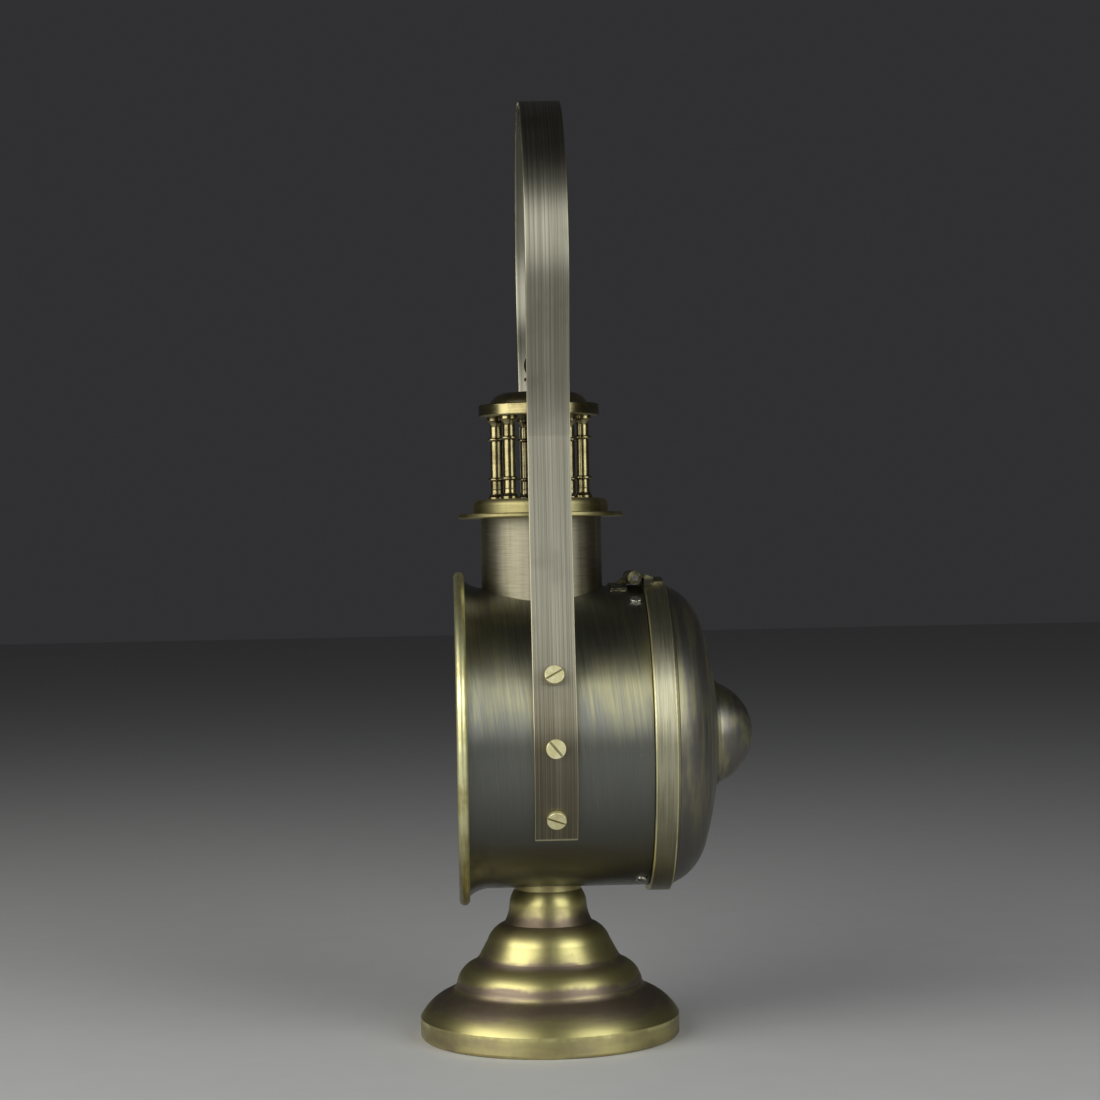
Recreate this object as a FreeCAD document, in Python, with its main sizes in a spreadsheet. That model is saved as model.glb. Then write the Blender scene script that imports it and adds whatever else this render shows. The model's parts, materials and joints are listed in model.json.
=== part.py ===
import FreeCAD, Part
import os
import re
from math import cos, radians, sin, sqrt

import Sketcher

# Candle lantern in antique brass: a spun pedestal, a horizontal drum with a bell mouth, a hinged
# rear cover, a chimney with a crown of turned balusters, and a tall strap handle.
# Frame: origin at the centre of the foot on the floor, +Z up, the bell mouth faces -Y, the rear
# cover faces +Y, and the handle's legs are at +X and -X. All sizes are in millimetres.

Vector = FreeCAD.Vector
doc = FreeCAD.newDocument("candle_lantern")
sheet = doc.addObject("Spreadsheet::Sheet", "Sizes")

SIZES = [
    # Sheet metal and fits
    ("spun_wall", 1.2, "wall of the spun and rolled brass sheet"),
    ("thin_wall", 0.8, "wall of the reflector"),
    ("seat_gap", 0.1, "gap between a ring and the wall that it sits in"),
    ("edge_round", 0.4, "worn edges of the strap and the cover's band"),
    ("saddle_length", 240.0, "cylinders that cut the saddles over the drum"),
    # Pedestal, as radius and height
    ("base_lip_radius", 54.0, "inner edge of the lip turned in under the foot"),
    ("base_radius", 60.0, "outside of the foot band"),
    ("base_edge_round", 1.5, "lower edge of the foot band"),
    ("base_band_top", 9.5, "top of the foot band"),
    ("base_shoulder_bend", 25.0, "round of the shoulder"),
    ("base_shoulder_radius", 46.2, "shoulder turns into the hollow under the step"),
    ("base_shoulder_height", 20.9, "shoulder turns into the hollow under the step"),
    ("base_hollow_bend", 3.5, "hollow under the step"),
    ("base_hollow_radius", 43.6, "hollow meets the step"),
    ("base_hollow_height", 23.0, "hollow meets the step"),
    ("base_step_radius", 43.0, "top of the step"),
    ("base_step_height", 24.5, "top of the step"),
    ("base_ring_bend", 11.8, "round of the second ring"),
    ("base_ring_radius", 36.5, "second ring turns into the cove"),
    ("base_ring_height", 33.5, "second ring turns into the cove"),
    ("base_cove_bend", 7.5, "cove at the foot of the bell"),
    ("base_bell_radius", 32.6, "foot of the bell"),
    ("base_bell_height", 36.4, "foot of the bell"),
    ("base_waist_radius", 28.5, "straight flank of the bell ends"),
    ("base_waist_height", 44.0, "straight flank of the bell ends"),
    ("base_top_bend", 13.0, "round of the bell's top"),
    ("base_seam_radius", 20.5, "seam between the bell and the neck cup"),
    ("base_seam_height", 52.0, "seam between the bell and the neck cup"),
    # Neck cup
    ("neck_cove_bend", 18.0, "hollow curve above the seam"),
    ("neck_waist_radius", 18.0, "narrow part of the neck"),
    ("neck_waist_height", 60.0, "narrow part of the neck"),
    ("neck_crown_bend", 13.5, "round below the drum"),
    ("neck_top_radius", 15.4, "neck where it meets the drum"),
    ("neck_top_height", 67.5, "end of the neck's round"),
    ("neck_saddle_height", 72.0, "neck blank before the drum's saddle is cut"),
    # Tie rod through neck and pedestal
    ("tie_rod_radius", 2.5, "M5 tie rod"),
    ("tie_hole_radius", 2.7, "hole for the tie rod"),
    ("tie_rod_bottom", 43.0, "lower end of the tie rod"),
    ("tie_rod_top", 88.4, "upper end of the tie rod"),
    ("tie_nut_flat", 4.0, "half the width across flats of an M5 nut"),
    ("tie_nut_height", 3.6, "height of an M5 nut"),
    ("tie_nut_bore", 2.55, "bore of an M5 nut over the rod"),
    ("washer_radius", 12.0, "washer under the pedestal's top"),
    ("washer_thickness", 1.4, "washer under the pedestal's top"),
    # Drum, as distance along Y and radius about its own axis
    ("drum_axis_height", 138.0, "height of the drum's axis"),
    ("drum_radius", 69.4, "outside of the drum"),
    ("drum_rear", 45.4, "rear edge of the drum"),
    ("flare_start", -27.0, "drum turns into the bell mouth"),
    ("flare_end", -38.3, "edge of the flared sheet"),
    ("flare_radius", 75.35, "radius at the edge of the flared sheet"),
    ("flare_bend", 13.7, "curve of the flare"),
    ("bead_radius", 74.6, "centre line of the rim bead"),
    ("bead_position", -38.6, "centre line of the rim bead"),
    ("bead_section", 2.4, "section radius of the rim bead"),
    # Glass and its rings
    ("glass_radius", 67.6, "front glass"),
    ("glass_front", -24.0, "front face of the glass"),
    ("glass_back", -21.0, "back face of the glass"),
    ("seat_bore", 61.0, "opening of the seat ring"),
    ("seat_back", -13.0, "rear edge of the seat ring's skirt"),
    ("clip_radius", 67.2, "centre line of the wire clip in front of the glass"),
    ("clip_position", -24.95, "centre line of the wire clip"),
    ("clip_section", 0.9, "section radius of the wire clip"),
    ("clip_sweep", 350.0, "the wire clip is split, degrees"),
    # Rear spigot ring and its screws
    ("spigot_front", 36.0, "front edge of the spigot ring"),
    ("spigot_rear", 51.5, "rear edge of the spigot ring, inside the cover"),
    ("ring_screw_position", 41.4, "ring screws along Y"),
    ("ring_screw_elevation", 65.0, "ring screws above and below the horizontal, degrees"),
    ("ring_screw_head_radius", 2.65, "M3 screw head"),
    ("ring_screw_head_height", 1.3, "M3 screw head"),
    ("ring_screw_round", 0.6, "rounded edge of the M3 screw head"),
    ("ring_screw_shank", 1.5, "M3 shank radius"),
    ("ring_screw_hole", 1.6, "hole for an M3 shank"),
    ("ring_hole_start", 62.0, "inner end of the hole's cutter, from the drum's axis"),
    ("ring_screw_length", 4.4, "M3 shank length"),
    ("ring_slot_half_width", 0.35, "screwdriver slot"),
    ("ring_slot_depth", 0.6, "screwdriver slot"),
    # Rear cover, as distance along Y and radius
    ("cover_front", 45.9, "front edge of the cover"),
    ("cover_skirt_radius", 69.8, "outside of the cover's skirt"),
    ("cover_skirt_end", 56.8, "skirt turns into the dome"),
    ("cover_dome_start", 57.2, "dome starts"),
    ("cover_dome_start_radius", 69.0, "dome starts"),
    ("cover_corner_bend", 24.8, "large round of the dome"),
    ("cover_face_start", 72.1, "dome's back face starts"),
    ("cover_face_start_radius", 52.8, "dome's back face starts"),
    ("cover_face_bend", 200.0, "slight crown of the back face"),
    ("cover_face_end", 78.5, "back face under the boss's rim"),
    ("cover_face_end_radius", 24.4, "back face under the boss's rim"),
    ("cover_centre", 79.2, "back face at the stud"),
    ("band_radius", 72.0, "outside of the band round the cover"),
    ("band_rear", 55.8, "rear edge of the band"),
    # Boss, its stud, nut and the reflector
    ("boss_apex", 96.6, "tip of the boss"),
    ("boss_bend", 24.65, "radius of the boss's ball"),
    ("boss_edge_radius", 23.4, "ball meets the boss's rim"),
    ("boss_edge", 79.95, "ball meets the boss's rim"),
    ("boss_rim_radius", 24.4, "boss's rim"),
    ("boss_rim_rear", 79.75, "rear of the boss's rim"),
    ("boss_rim_front", 78.55, "boss's rim on the cover"),
    ("stud_radius", 2.0, "M4 stud"),
    ("stud_hole", 2.2, "hole for the M4 stud"),
    ("stud_front", 65.6, "front end of the stud"),
    ("stud_rear", 95.3, "the stud ends inside the boss"),
    ("reflector_centre", 70.0, "back of the reflector at the stud"),
    ("reflector_edge", 50.5, "rim of the reflector"),
    ("reflector_radius", 60.0, "rim of the reflector"),
    ("reflector_bend", 95.0, "curve of the reflector"),
    ("bush_radius", 4.0, "bush between reflector and cover"),
    ("bush_front", 70.1, "bush between reflector and cover"),
    ("bush_rear", 77.9, "bush between reflector and cover"),
    # Hinge at the top of the drum
    ("hinge_position", 42.0, "hinge pin along Y"),
    ("hinge_height", 211.0, "hinge pin's height"),
    ("knuckle_radius", 3.2, "outside of the knuckles"),
    ("pin_radius", 1.5, "hinge pin"),
    ("fixed_knuckle_bore", 1.52, "fixed knuckle on the pin"),
    ("moving_knuckle_bore", 1.56, "moving knuckles on the pin"),
    ("knuckle_inner", 5.7, "half the width of the fixed knuckle"),
    ("knuckle_start", 6.0, "moving knuckles start"),
    ("hinge_half_width", 17.5, "half the width of the hinge"),
    ("leaf_reach", 11.0, "fixed leaf in front of the pin"),
    ("leaf_gap", 3.6, "the pin to the near edge of the fixed leaf"),
    ("leaf_outside", 70.8, "outer face of the fixed leaf, from the drum's axis"),
    ("leaf_depth", 9.0, "fixed leaf blank below the pin, before the saddle is cut"),
    ("tongue_front", 7.5, "tongue from the fixed leaf to its knuckle"),
    ("tongue_bottom", 4.0, "tongue on the fixed leaf"),
    ("tongue_shoulder", 2.5, "tongue on the fixed leaf"),
    ("tongue_back", 2.0, "tongue in the knuckle"),
    ("tongue_inside", 1.0, "tongue in the knuckle"),
    ("bridge_top", 3.2, "cover leaf where it leaves the knuckle"),
    ("bridge_bottom", 2.0, "cover leaf where it leaves the knuckle"),
    ("bridge_toe", 0.3, "cover leaf behind the cover's front edge"),
    ("bridge_step", 0.2, "cover leaf where it reaches the band"),
    ("bridge_depth", 5.0, "cover leaf blank below the pin, before its seat is cut"),
    ("bridge_heel", 4.5, "rear end of the leaf's slope on the band"),
    ("pin_half_length", 18.2, "half the length of the pin"),
    ("leaf_thickness", 1.2, "leaf on the cover's band"),
    ("leaf_rear", 55.0, "rear edge of the cover's leaf"),
    # Handle strap, in the XZ plane
    ("strap_half_width", 9.525, "three-quarter inch strap"),
    ("strap_half_thickness", 1.0, "2 mm strap"),
    ("strap_position", 2.2, "middle of the strap along Y"),
    ("strap_wrap_radius", 70.45, "middle of the strap where it follows the drum"),
    ("strap_end_height", 97.0, "lower end of the strap"),
    ("grip_half_width", 57.0, "narrowest place between the legs"),
    ("grip_neck_height", 275.0, "narrowest place between the legs"),
    ("loop_radius", 74.0, "middle of the strap in the loop"),
    ("loop_height", 357.0, "centre of the loop"),
    # Handle screws, radial to the drum
    ("upper_screw_angle", 25.0, "upper screws, degrees above the axis"),
    ("lower_screw_angle", -26.0, "lower screws, degrees above the axis"),
    ("screw_head_radius", 4.3, "M4 cheese head"),
    ("screw_head_height", 2.2, "M4 cheese head"),
    ("screw_head_round", 0.35, "rounded edge of the M4 head"),
    ("screw_shank", 1.95, "M4 shank radius"),
    ("screw_hole", 2.1, "hole for an M4 shank"),
    ("screw_tip", 63.6, "inner end of the shank, from the drum's axis"),
    ("screw_seat", 71.5, "under the head of the middle and lower screws"),
    ("upper_screw_seat", 75.0, "under the head of the upper screws"),
    ("screw_length", 7.9, "M4 shank length"),
    ("upper_screw_length", 11.4, "M4 shank length of the upper screws"),
    ("slot_half_width", 0.5, "screwdriver slot"),
    ("slot_depth", 0.9, "screwdriver slot"),
    ("nut_flat", 3.5, "half the width across flats of an M4 nut"),
    ("nut_height", 3.0, "height of an M4 nut"),
    ("nut_bore", 2.0, "bore of an M4 nut over the shank"),
    ("nut_seat", 68.0, "outer face of the nuts, from the drum's axis"),
    ("spacer_radius", 3.6, "bush behind the strap at the upper screws"),
    ("spacer_reach", 70.8, "outer end of that bush, from the drum's axis"),
    # Chimney, as radius and height
    ("tube_radius", 28.0, "outside of the chimney tube"),
    ("tube_foot", 196.0, "tube blank before the drum's saddle is cut"),
    ("tube_top", 239.6, "top of the chimney tube"),
    ("flange_radius", 38.3, "thin plate on the tube"),
    ("flange_top", 241.8, "top of the thin plate"),
    ("flange_round", 0.7, "edge of the thin plate"),
    ("collar_radius", 31.3, "collar under the balusters"),
    ("collar_side_top", 245.4, "the collar's side turns into its round"),
    ("collar_round", 2.9, "round of the collar"),
    ("collar_flat_radius", 28.4, "flat top of the collar"),
    ("collar_top", 248.3, "top of the collar"),
    ("throat_radius", 15.6, "throat through flange and collar"),
    # Balusters
    ("baluster_count", 6.0, "number of balusters"),
    ("baluster_circle", 20.5, "radius of the circle that they stand on"),
    ("baluster_start", 15.4, "first baluster, degrees from +X"),
    ("baluster_height", 38.0, "height between collar and cap"),
    ("baluster_foot_radius", 4.1, "foot and capital"),
    ("baluster_foot_height", 1.2, "foot and capital"),
    ("baluster_cove_bend", 4.6, "hollow curve from foot to shaft"),
    ("baluster_cove_height", 5.0, "hollow curve ends"),
    ("baluster_radius", 2.87, "shaft"),
    ("baluster_ring_low", 9.4, "lower ring"),
    ("baluster_ring_high", 28.0, "upper ring"),
    ("baluster_ring_half", 0.8, "half the height of a ring"),
    ("baluster_ring_root", 3.55, "ring before its round"),
    ("baluster_ring_bend", 0.85, "round of a ring"),
    ("tenon_radius", 1.5, "tenons into collar and cap"),
    ("tenon_length", 1.8, "tenons into collar and cap"),
    ("tenon_hole", 1.55, "holes for the tenons"),
    ("tenon_depth", 2.0, "holes for the tenons"),
    # Cap and finial
    ("cap_radius", 28.0, "cap rim"),
    ("cap_round", 0.8, "edges of the cap rim"),
    ("cap_bottom", 286.3, "underside of the cap rim"),
    ("cap_floor", 289.1, "floor inside the cap rim"),
    ("cap_well_radius", 20.0, "well inside the cap rim"),
    ("cap_top", 292.1, "top of the cap rim"),
    ("crown_radius", 23.0, "edge of the cap's dome"),
    ("crown_bend", 8.2, "round of the cap's dome"),
    ("crown_flat_radius", 14.5, "round ends"),
    ("crown_flat_height", 297.5, "round ends"),
    ("crown_top", 298.1, "top of the cap's dome"),
    ("crown_wall", 1.0, "wall of the cap's dome"),
    ("finial_stud", 2.0, "finial's M4 stud"),
    ("finial_hole", 2.1, "hole for the finial's stud"),
    ("finial_stud_bottom", 282.1, "end of the finial's stud"),
    ("finial_foot_radius", 5.2, "foot of the finial"),
    ("finial_waist_radius", 4.0, "waist of the finial"),
    ("finial_waist_height", 300.9, "waist of the finial"),
    ("finial_cove_bend", 4.0, "hollow curve of the waist"),
    ("finial_disc_height", 303.1, "disc under the ball"),
    ("finial_disc_radius", 6.4, "disc under the ball"),
    ("finial_disc_top", 304.4, "disc under the ball"),
    ("finial_ball_root", 3.4, "ball leaves the disc"),
    ("finial_ball_foot", 304.8, "ball leaves the disc"),
    ("finial_ball_side", 310.5, "widest place of the ball"),
    ("finial_top", 316.9, "tip of the ball"),
    # Candle holder and candle
    ("post_radius", 6.0, "post on the drum's floor"),
    ("post_bottom", 70.2, "post on the drum's floor"),
    ("tray_bottom", 84.0, "drip tray on the post"),
    ("tray_floor", 85.2, "floor of the drip tray"),
    ("tray_inner_radius", 17.2, "floor of the drip tray"),
    ("tray_outer_radius", 18.2, "underside of the drip tray"),
    ("tray_edge_radius", 20.3, "edge of the drip tray"),
    ("tray_edge_inner", 19.3, "edge of the drip tray"),
    ("tray_edge_height", 89.0, "edge of the drip tray"),
    ("socket_bore", 11.3, "candle socket"),
    ("socket_radius", 12.4, "candle socket"),
    ("socket_top", 100.0, "candle socket"),
    ("cup_nut_top", 87.6, "thin nut on the tie rod in the socket"),
    ("candle_radius", 11.0, "22 mm candle"),
    ("candle_bottom", 88.6, "candle on the tie rod's end"),
    ("candle_edge_radius", 9.8, "rounded shoulder of the candle"),
    ("candle_edge_round", 1.7, "rounded shoulder of the candle"),
    ("candle_side_top", 127.0, "rounded shoulder of the candle"),
    ("candle_top", 128.2, "top of the candle"),
    ("wick_radius", 0.8, "wick"),
    ("wick_top", 135.0, "tip of the wick"),
]

for row, (alias, value, note) in enumerate(SIZES, start=1):
    sheet.set(f"A{row}", alias)
    sheet.set(f"B{row}", str(value))
    sheet.setAlias(f"B{row}", alias)
    sheet.set(f"C{row}", note)
doc.recompute()

SUBPARTS = {}


# ---- Sizes ------------------------------------------------------------------------------------

def size(text):
    """Value of a size name, or of a sum and difference of size names and numbers."""
    total = 0.0
    for sign, term in re.findall(r"([+-]?)\s*([\w.]+)", text):
        value = sheet.get(term) if term[0].isalpha() else float(term)
        total += -value if sign == "-" else value
    return total


def formula(text):
    """The same sum, written as references to the sheet."""
    return re.sub(r"[a-z][a-z_]*", lambda name: f"Sizes.{name.group()}", text)


def bind(item, prop, text):
    """Set one property of an object from the sheet."""
    item.setExpression(prop, formula(text))


def keep(label, item):
    """Register an object as the sub-part called label."""
    item.Label = label
    SUBPARTS[label] = item
    return item


# ---- Outlines ---------------------------------------------------------------------------------

def pin_point(sketch, geometry, end, x_text, y_text):
    """Fix one end of a curve at a place given by sizes."""
    for kind, text in (("DistanceX", x_text), ("DistanceY", y_text)):
        index = sketch.addConstraint(Sketcher.Constraint(kind, -1, 1, geometry, end, size(text)))
        if re.search("[a-z]", text):
            sketch.setExpression(f"Constraints[{index}]", formula(text))


def arc_between(start, finish, radius, side):
    """The shorter arc from start to finish, with its centre on the left or right of the way."""
    way = finish - start
    left = Vector(-way.y, way.x, 0).normalize()
    reach = sqrt(radius ** 2 - (way.Length / 2) ** 2)
    toward = 1 if side == "left" else -1
    centre = (start + finish) * 0.5 + left * (reach * toward)
    first, last = (start, finish) if side == "left" else (finish, start)
    angles = [Vector(1, 0, 0).getAngle(point - centre) for point in (first, last)]
    signed = [-a if (p - centre).y < 0 else a for a, p in zip(angles, (first, last))]
    return Part.ArcOfCircle(Part.Circle(centre, Vector(0, 0, 1), radius), *signed)


def draw_outline(sketch, corners, closed):
    """Draw lines and arcs through corners and bind every corner and radius to the sheet.

    A corner is (x, y), or (x, y, side, bend) where an arc of radius bend leads to it.
    """
    count = len(corners)
    spans = count if closed else count - 1
    points = [Vector(size(corner[0]), size(corner[1]), 0) for corner in corners]
    ends = []
    for span in range(spans):
        start = points[span]
        corner = corners[(span + 1) % count]
        finish = points[(span + 1) % count]
        if len(corner) == 2:
            sketch.addGeometry(Part.LineSegment(start, finish))
            ends.append((1, 2))
        else:
            side, bend = corner[2:]
            index = sketch.addGeometry(arc_between(start, finish, size(bend), side))
            ends.append((1, 2) if side == "left" else (2, 1))
            radius = sketch.addConstraint(Sketcher.Constraint("Radius", index, size(bend)))
            sketch.setExpression(f"Constraints[{radius}]", formula(bend))
    for span in range(spans):
        pin_point(sketch, span, ends[span][0], *corners[span][:2])
        following = (span + 1) % spans
        if closed or span < spans - 1:
            sketch.addConstraint(Sketcher.Constraint(
                "Coincident", span, ends[span][1], following, ends[following][0]))
    if not closed:
        pin_point(sketch, spans - 1, ends[-1][1], *corners[-1][:2])


def sketch_on(body, role, name):
    """An empty sketch on one of the body's own origin planes."""
    sketch = body.newObject("Sketcher::SketchObject", name)
    plane = next(plane for plane in body.Origin.OriginFeatures if plane.Role == role)
    sketch.AttachmentSupport = [(plane, "")]
    sketch.MapMode = "FlatFace"
    return sketch


# ---- Ways of making a piece -------------------------------------------------------------------

def turned(name, corners, axis="Z"):
    """A body turned from a closed outline: about Z, or about the drum's axis for axis "Y".

    Corners are radius and height about Z, and distance along Y and radius about the drum's axis.
    """
    body = doc.addObject("PartDesign::Body", name)
    role, spin = ("XZ_Plane", "V_Axis") if axis == "Z" else ("YZ_Plane", "H_Axis")
    sketch = sketch_on(body, role, f"{name}_outline")
    draw_outline(sketch, corners, closed=True)
    turn = body.newObject("PartDesign::Revolution", f"{name}_turn")
    turn.Profile = sketch
    turn.ReferenceAxis = (sketch, [spin])
    turn.Angle = 360
    body.Tip = turn
    if axis == "Y":
        bind(body, "Placement.Base.z", "drum_axis_height")
    return body


def spun(name, corners, axis="Z", wall="spun_wall"):
    """A spun shell: an open outline of its outside, with the wall laid inside it."""
    sketch = doc.addObject("Sketcher::SketchObject", f"{name}_outline")
    if axis == "Z":
        frame = FreeCAD.Rotation(Vector(1, 0, 0), Vector(0, 0, 1), Vector(0, -1, 0), "ZXY")
        sketch.Placement = FreeCAD.Placement(Vector(), frame)
    else:
        frame = FreeCAD.Rotation(Vector(0, 1, 0), Vector(0, 0, 1), Vector(1, 0, 0), "ZXY")
        sketch.Placement = FreeCAD.Placement(Vector(0, 0, size("drum_axis_height")), frame)
        bind(sketch, "Placement.Base.z", "drum_axis_height")
    draw_outline(sketch, corners, closed=False)
    skin = doc.addObject("Part::Offset2D", f"{name}_wall")
    skin.Source = sketch
    skin.Mode = "Skin"
    skin.Fill = True
    bind(skin, "Value", wall)
    doc.recompute()
    reach, limit = skin.Shape.BoundBox, sketch.Shape.BoundBox
    if max(reach.XMax - limit.XMax, reach.ZMax - limit.ZMax) > 0.01:
        bind(skin, "Value", f"0 - {wall}")
    shell = doc.addObject("Part::Revolution", name)
    shell.Source = skin
    shell.Angle = 360
    shell.Solid = True
    shell.Axis = Vector(0, 0, 1) if axis == "Z" else Vector(0, 1, 0)
    if axis == "Y":
        shell.Base = Vector(0, 0, size("drum_axis_height"))
        bind(shell, "Base.z", "drum_axis_height")
    return shell


def cylinder(name, radius, height):
    """A cylinder along its own Z, with radius and height from the sheet."""
    item = doc.addObject("Part::Cylinder", name)
    bind(item, "Radius", radius)
    bind(item, "Height", height)
    return item


def box(name, length, width, height):
    """A box with its sides from the sheet."""
    item = doc.addObject("Part::Box", name)
    bind(item, "Length", length)
    bind(item, "Width", width)
    bind(item, "Height", height)
    return item


def joined(name, items):
    """Several objects fused into one."""
    item = doc.addObject("Part::MultiFuse", name)
    item.Shapes = items
    item.Refine = True
    return item


def cut(name, base, tools):
    """One object with one or more others taken away."""
    item = doc.addObject("Part::Cut", name)
    item.Base = base
    item.Tool = tools[0] if len(tools) == 1 else joined(f"{name}_tools", tools)
    return item


def group(name, items):
    """Identical separate solids kept together in one sub-part."""
    item = doc.addObject("Part::Compound", name)
    item.Links = items
    return item


def radial_place(angle, along, reach):
    """A place at reach from the drum's axis, where local Z points straight out from the axis.

    angle is in degrees from +X towards +Z, and local X points along +Y.
    """
    out = Vector(cos(radians(angle)), 0, sin(radians(angle)))
    up = Vector(-sin(radians(angle)), 0, cos(radians(angle)))
    axis = Vector(0, along, size("drum_axis_height"))
    return FreeCAD.Placement(axis + out * reach, FreeCAD.Rotation(Vector(0, 1, 0), up, out, "ZXY"))


def drum_envelope(name, radius):
    """A long cylinder on the drum's axis, for cutting a saddle."""
    item = doc.addObject("Part::Cylinder", name)
    bind(item, "Radius", radius)
    bind(item, "Height", "saddle_length")
    start = Vector(0, size("saddle_length") / 2, size("drum_axis_height"))
    item.Placement = FreeCAD.Placement(start, FreeCAD.Rotation(Vector(1, 0, 0), 90))
    bind(item, "Placement.Base.z", "drum_axis_height")
    return item


def hex_nut(name, flat, height, bore):
    """A hexagon nut along its own Z."""
    blank = doc.addObject("Part::Prism", f"{name}_blank")
    blank.Polygon = 6
    blank.setExpression("Circumradius", f"{formula(flat)} / cos(30deg)")
    bind(blank, "Height", height)
    hole = cylinder(f"{name}_bore", bore, f"{height} + 2")
    bind(hole, "Placement.Base.z", "0 - 1")
    return cut(name, blank, [hole])


def slotted_screw(name, head, head_height, head_round, shank, length, slot_half, slot_depth, turn):
    """A slotted screw along its own Z, its head's seat at 0; turn is the slot's angle."""
    body = turned(f"{name}_blank", [
        ("0", f"0 - {length}"),
        (shank, f"0 - {length}"),
        (shank, "0"),
        (head, "0"),
        (head, f"{head_height} - {head_round}"),
        (f"{head} - {head_round}", head_height, "left", head_round),
        ("0", head_height),
    ])
    slot = box(f"{name}_slot", f"{head} + {head} + 2", f"{slot_half} + {slot_half}", slot_depth)
    middle = Vector(size(head) + 1, size(slot_half), 0)
    frame = FreeCAD.Rotation(Vector(0, 0, 1), turn)
    corner = Vector(0, 0, size(head_height) - size(slot_depth)) - frame.multVec(middle)
    slot.Placement = FreeCAD.Placement(corner, frame)
    return cut(name, body, [slot])


# ---- Pedestal and neck ------------------------------------------------------------------------

def make_pedestal():
    keep("base_pedestal", spun("base_pedestal", [
        ("base_lip_radius", "0"),
        ("base_radius - base_edge_round", "0"),
        ("base_radius", "base_edge_round", "left", "base_edge_round"),
        ("base_radius", "base_band_top"),
        ("base_shoulder_radius", "base_shoulder_height", "left", "base_shoulder_bend"),
        ("base_hollow_radius", "base_hollow_height", "right", "base_hollow_bend"),
        ("base_step_radius", "base_step_height"),
        ("base_ring_radius", "base_ring_height", "left", "base_ring_bend"),
        ("base_bell_radius", "base_bell_height", "right", "base_cove_bend"),
        ("base_waist_radius", "base_waist_height"),
        ("base_seam_radius", "base_seam_height", "left", "base_top_bend"),
        ("tie_hole_radius", "base_seam_height"),
    ]))
    neck = spun("base_neck_blank", [
        ("base_seam_radius", "base_seam_height"),
        ("neck_waist_radius", "neck_waist_height", "right", "neck_cove_bend"),
        ("neck_top_radius", "neck_top_height", "left", "neck_crown_bend"),
        ("neck_top_radius", "neck_saddle_height"),
    ])
    seat = cylinder("neck_seat", "base_radius", "base_seam_height")
    saddle = drum_envelope("neck_saddle", "drum_radius")
    keep("base_neck", cut("base_neck", neck, [saddle, seat]))


def make_tie_rod():
    rod = keep("tie_rod", cylinder("tie_rod", "tie_rod_radius", "tie_rod_top - tie_rod_bottom"))
    bind(rod, "Placement.Base.z", "tie_rod_bottom")
    washer_top = "base_seam_height - spun_wall"
    keep("base_washer", turned("base_washer", [
        ("tie_hole_radius", f"{washer_top} - washer_thickness"),
        ("washer_radius", f"{washer_top} - washer_thickness"),
        ("washer_radius", washer_top),
        ("tie_hole_radius", washer_top),
    ]))
    nut = keep("base_nut", hex_nut("base_nut", "tie_nut_flat", "tie_nut_height", "tie_nut_bore"))
    bind(nut, "Placement.Base.z", f"{washer_top} - washer_thickness - tie_nut_height")


# ---- Drum, bell mouth and glass ---------------------------------------------------------------

def handle_screw_angles():
    """Angle about the drum's axis, kind and slot angle of the six handle screws."""
    near = [
        (size("upper_screw_angle"), "upper_screw", 30),
        (0.0, "screw", -50),
        (size("lower_screw_angle"), "screw", -22),
    ]
    far = [(180 - angle, screw, -turn) for angle, screw, turn in near]
    return near + far


def ring_screw_angles():
    """Angles of the four ring screws about the drum's axis."""
    rise = size("ring_screw_elevation")
    return [rise, 180 - rise, 180 + rise, -rise]


def radial_holes(name, radius, angles, along, inner, length):
    """Cylinders that point out from the drum's axis, one for each hole."""
    holes = []
    for number, angle in enumerate(angles, start=1):
        hole = cylinder(f"{name}_{number}", radius, length)
        hole.Placement = radial_place(angle, along, size(inner))
        holes.append(hole)
    return holes


def handle_holes(name, inner, length):
    angles = [angle for angle, screw, turn in handle_screw_angles()]
    return radial_holes(name, "screw_hole", angles, size("strap_position"), inner, length)


def ring_holes(name):
    return radial_holes(name, "ring_screw_hole", ring_screw_angles(),
                        size("ring_screw_position"), "ring_hole_start",
                        "drum_radius - ring_hole_start + 2")


def rim_bead(name):
    bead = doc.addObject("Part::Torus", name)
    bind(bead, "Radius1", "bead_radius")
    bind(bead, "Radius2", "bead_section")
    bead.Placement = FreeCAD.Placement(
        Vector(0, size("bead_position"), size("drum_axis_height")),
        FreeCAD.Rotation(Vector(1, 0, 0), 90))
    bind(bead, "Placement.Base.y", "bead_position")
    bind(bead, "Placement.Base.z", "drum_axis_height")
    return bead


def make_drum():
    shell = spun("drum_blank", [
        ("drum_rear", "drum_radius"),
        ("flare_start", "drum_radius"),
        ("flare_end", "flare_radius", "right", "flare_bend"),
    ], axis="Y")
    chimney_hole = cylinder("chimney_hole", "tube_radius - spun_wall", "drum_radius + 4")
    bind(chimney_hole, "Placement.Base.z", "drum_axis_height")
    tie_hole = cylinder("drum_tie_hole", "tie_hole_radius", "drum_radius")
    bind(tie_hole, "Placement.Base.z", "base_seam_height")
    tools = [rim_bead("bead_space"), chimney_hole, tie_hole]
    tools += handle_holes("drum_handle_hole", "screw_tip", "screw_seat - screw_tip")
    tools += ring_holes("drum_ring_hole")
    keep("drum_body", cut("drum_body", shell, tools))
    keep("front_rim_bead", rim_bead("front_rim_bead"))


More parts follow.
